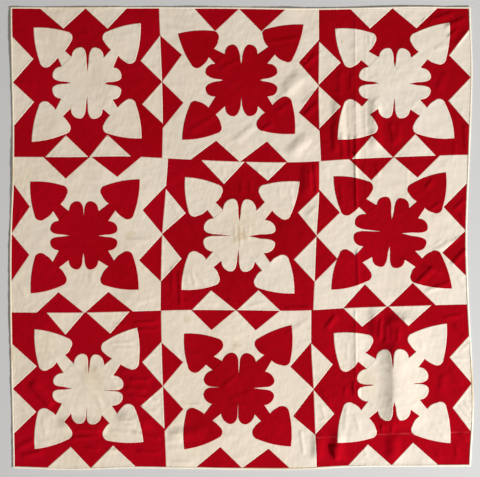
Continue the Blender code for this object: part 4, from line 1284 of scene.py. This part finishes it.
# The binding's section, as (share of the way from its inner to its outer edge, height)
BINDING_SECTION = (
    (0.000, 0.00158), (0.020, 0.00205), (0.090, 0.00262), (0.240, 0.00300), (0.480, 0.00312),
    (0.720, 0.00292), (0.880, 0.00240), (0.970, 0.00165), (1.000, 0.00095), (0.975, 0.00045),
    (0.880, 0.00020), (0.500, 0.00020), (0.125, 0.00020), (0.125, 0.00150),
)
BINDING_LAP = 0.0008
BINDING_STITCH = 0.0105
BINDING_STEP = 0.0035
END_ROUND = 0.0016
# Places near both ends of a strip, and where the even places begin
END_PLACES = (0.0, 0.0003, 0.0008, 0.0014, 0.0022, 0.0032, 0.0044)
EVEN_FROM = 0.0055


def binding_parts(inner, outer, rounded):
    """A rolled strip between an inner and an outer edge, each an array of points in the same order."""
    count = len(inner)
    run = np.linalg.norm(np.diff(inner, axis=0), axis=1)
    place = np.concatenate(((0.0,), np.cumsum(run)))
    across = outer - inner
    across /= np.linalg.norm(across, axis=1)[:, None]
    width = np.linalg.norm(outer - inner, axis=1)
    from_end = np.minimum(place, place[-1] - place)
    beat = 2.0 * math.pi * place / BINDING_STITCH
    scallop = 0.00022 * np.sin(beat) + 0.0004 * wavering(place, 0.47, 2.0, 0.83)
    full = 1.0 + 0.05 * np.sin(beat + 0.6) + 0.07 * wavering(place, 0.31, 1.5, 0.53)
    cut_back = np.zeros(count)
    if rounded:
        near = np.clip(CORNER_RADIUS - from_end, 0.0, CORNER_RADIUS)
        cut_back = CORNER_RADIUS - np.sqrt(np.maximum(CORNER_RADIUS ** 2 - near ** 2, 0.0))
    end_round = np.sqrt(1.0 - np.clip(1.0 - from_end / END_ROUND, 0.0, 1.0) ** 2) * 0.8 + 0.2
    rings = []
    for share, height in BINDING_SECTION:
        out = (width + BINDING_LAP - cut_back) * share - BINDING_LAP
        out = out + np.where(share < 0.1, scallop * (1.0 - share * 10.0), 0.0)
        spot = inner + across * out[:, None]
        top = height > 0.0010
        rise = CLEARANCE + (height - CLEARANCE) * (np.where(top, full, 1.0)) * end_round
        rings.append(np.column_stack((spot, lift(spot[:, 0], spot[:, 1]) + rise)))
    size = len(BINDING_SECTION)
    verts = np.stack(rings, axis=1).reshape(-1, 3)
    faces = []
    for step in range(count - 1):
        for side in range(size):
            a, b = step * size + side, step * size + (side + 1) % size
            faces += [(a, a + size, b + size), (a, b + size, b)]
    for side in range(1, size - 1):
        faces.append((0, side, side + 1))
        last = (count - 1) * size
        faces.append((last, last + side + 1, last + side))
    return verts, np.array(faces)


def spaced(start, end, step):
    """Even places from start to end, closer together near both ends."""
    count = int(abs(end - start) / step)
    way = math.copysign(1.0, end - start)
    first = [start + way * place for place in END_PLACES]
    last = [end - way * place for place in END_PLACES[::-1]]
    middle = np.linspace(start + way * EVEN_FROM, end - way * EVEN_FROM, count)
    return np.concatenate((first, middle, last))


def build_binding(cottons):
    for side, seam in (("top", 0), ("bottom", 3)):
        y_guess = HALF_SPAN if side == "top" else -HALF_SPAN
        left, right = outer_x(0, y_guess), outer_x(3, y_guess)
        xs = spaced(left, right, BINDING_STEP)
        inner = np.array([(x, row_seam_y(seam, x)) for x in xs])
        outer = np.array([(x, outer_y(seam, x)) for x in xs])
        finish_binding(side, inner, outer, side == "bottom", cottons)
    for side, seam in (("left", 0), ("right", 3)):
        top = row_seam_y(0, outer_x(seam, HALF_SPAN)) - 0.0002
        foot = row_seam_y(3, outer_x(seam, -HALF_SPAN)) + 0.0002
        ys = spaced(top, foot, BINDING_STEP)
        inner = np.array([(side_seam_x(seam, y), y) for y in ys])
        outer = np.array([(outer_x(seam, y), y) for y in ys])
        finish_binding(side, inner, outer, side == "left", cottons)


def finish_binding(side, inner, outer, turned, cottons):
    verts, faces = binding_parts(inner, outer, side in ("top", "bottom"))
    if not turned:
        faces = faces[:, ::-1]
    strip = joined_object("cloth_binding_" + side, [(verts, faces)], cottons["binding"])
    dress(strip, ["binding_" + side])


def add_light(name, place, size, energy, colour):
    """A round soft light that faces the quilt's middle."""
    lamp = bpy.data.lights.new(name, "AREA")
    lamp.shape = "DISK"
    lamp.size = size
    lamp.energy = energy
    lamp.color = colour
    light = bpy.data.objects.new(name, lamp)
    light.location = place
    light.rotation_euler = (-Vector(place)).to_track_quat("-Z", "Y").to_euler()
    bpy.context.scene.collection.objects.link(light)


FLOOR_HALF = 9.0
CAMERA_HEIGHT = 6.0
SENSOR_MM = 36.0
VIEW_WIDTH = 2.1984


def build_studio():
    """A plain pale floor, a soft key light from the lower right, a wide fill and a camera straight above."""
    mesh = bpy.data.meshes.new("floor")
    corners = [(x * FLOOR_HALF, y * FLOOR_HALF, 0.0) for x, y in ((-1, -1), (1, -1), (1, 1), (-1, 1))]
    mesh.from_pydata(corners, [], [(0, 1, 2, 3)])
    floor = bpy.data.objects.new("floor", mesh)
    bpy.context.scene.collection.objects.link(floor)
    paint = bpy.data.materials.new("floor_paint")
    paint.use_nodes = True
    shader = paint.node_tree.nodes["Principled BSDF"]
    shader.inputs["Base Color"].default_value = (0.62, 0.63, 0.64, 1.0)
    shader.inputs["Roughness"].default_value = 0.95
    shader.inputs["Specular IOR Level"].default_value = 0.1
    mesh.materials.append(paint)

    add_light("key", (9.7, -6.5, 5.2), 2.0, 2700.0, (1.0, 0.99, 0.985))
    add_light("fill", (-0.8, 0.4, 5.0), 4.0, 35.0, (1.0, 0.955, 0.88))
    world = bpy.data.worlds.new("studio")
    world.use_nodes = True
    world.node_tree.nodes["Background"].inputs["Color"].default_value = (1.0, 0.93, 0.83, 1.0)
    world.node_tree.nodes["Background"].inputs["Strength"].default_value = 0.16
    bpy.context.scene.world = world

    lens = bpy.data.cameras.new("camera")
    lens.sensor_width = SENSOR_MM
    lens.lens = SENSOR_MM * CAMERA_HEIGHT / VIEW_WIDTH
    lens.clip_start = 0.1
    lens.clip_end = 40.0
    camera = bpy.data.objects.new("camera", lens)
    camera.location = (-0.0071, -0.0018, CAMERA_HEIGHT)
    bpy.context.scene.collection.objects.link(camera)
    bpy.context.scene.camera = camera
    bpy.context.scene.view_settings.view_transform = "Standard"


def main():
    for thing in list(bpy.data.objects):
        bpy.data.objects.remove(thing, do_unlink=True)
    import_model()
    cottons = {name: cotton(name) for name in SHADES}
    threads = {name: cotton(name, thread=True) for name in ("red", "cream")}
    for block in BLOCKS:
        build_block(block, cottons, threads)
    build_binding(cottons)
    build_studio()
    bpy.context.view_layer.update()


main()
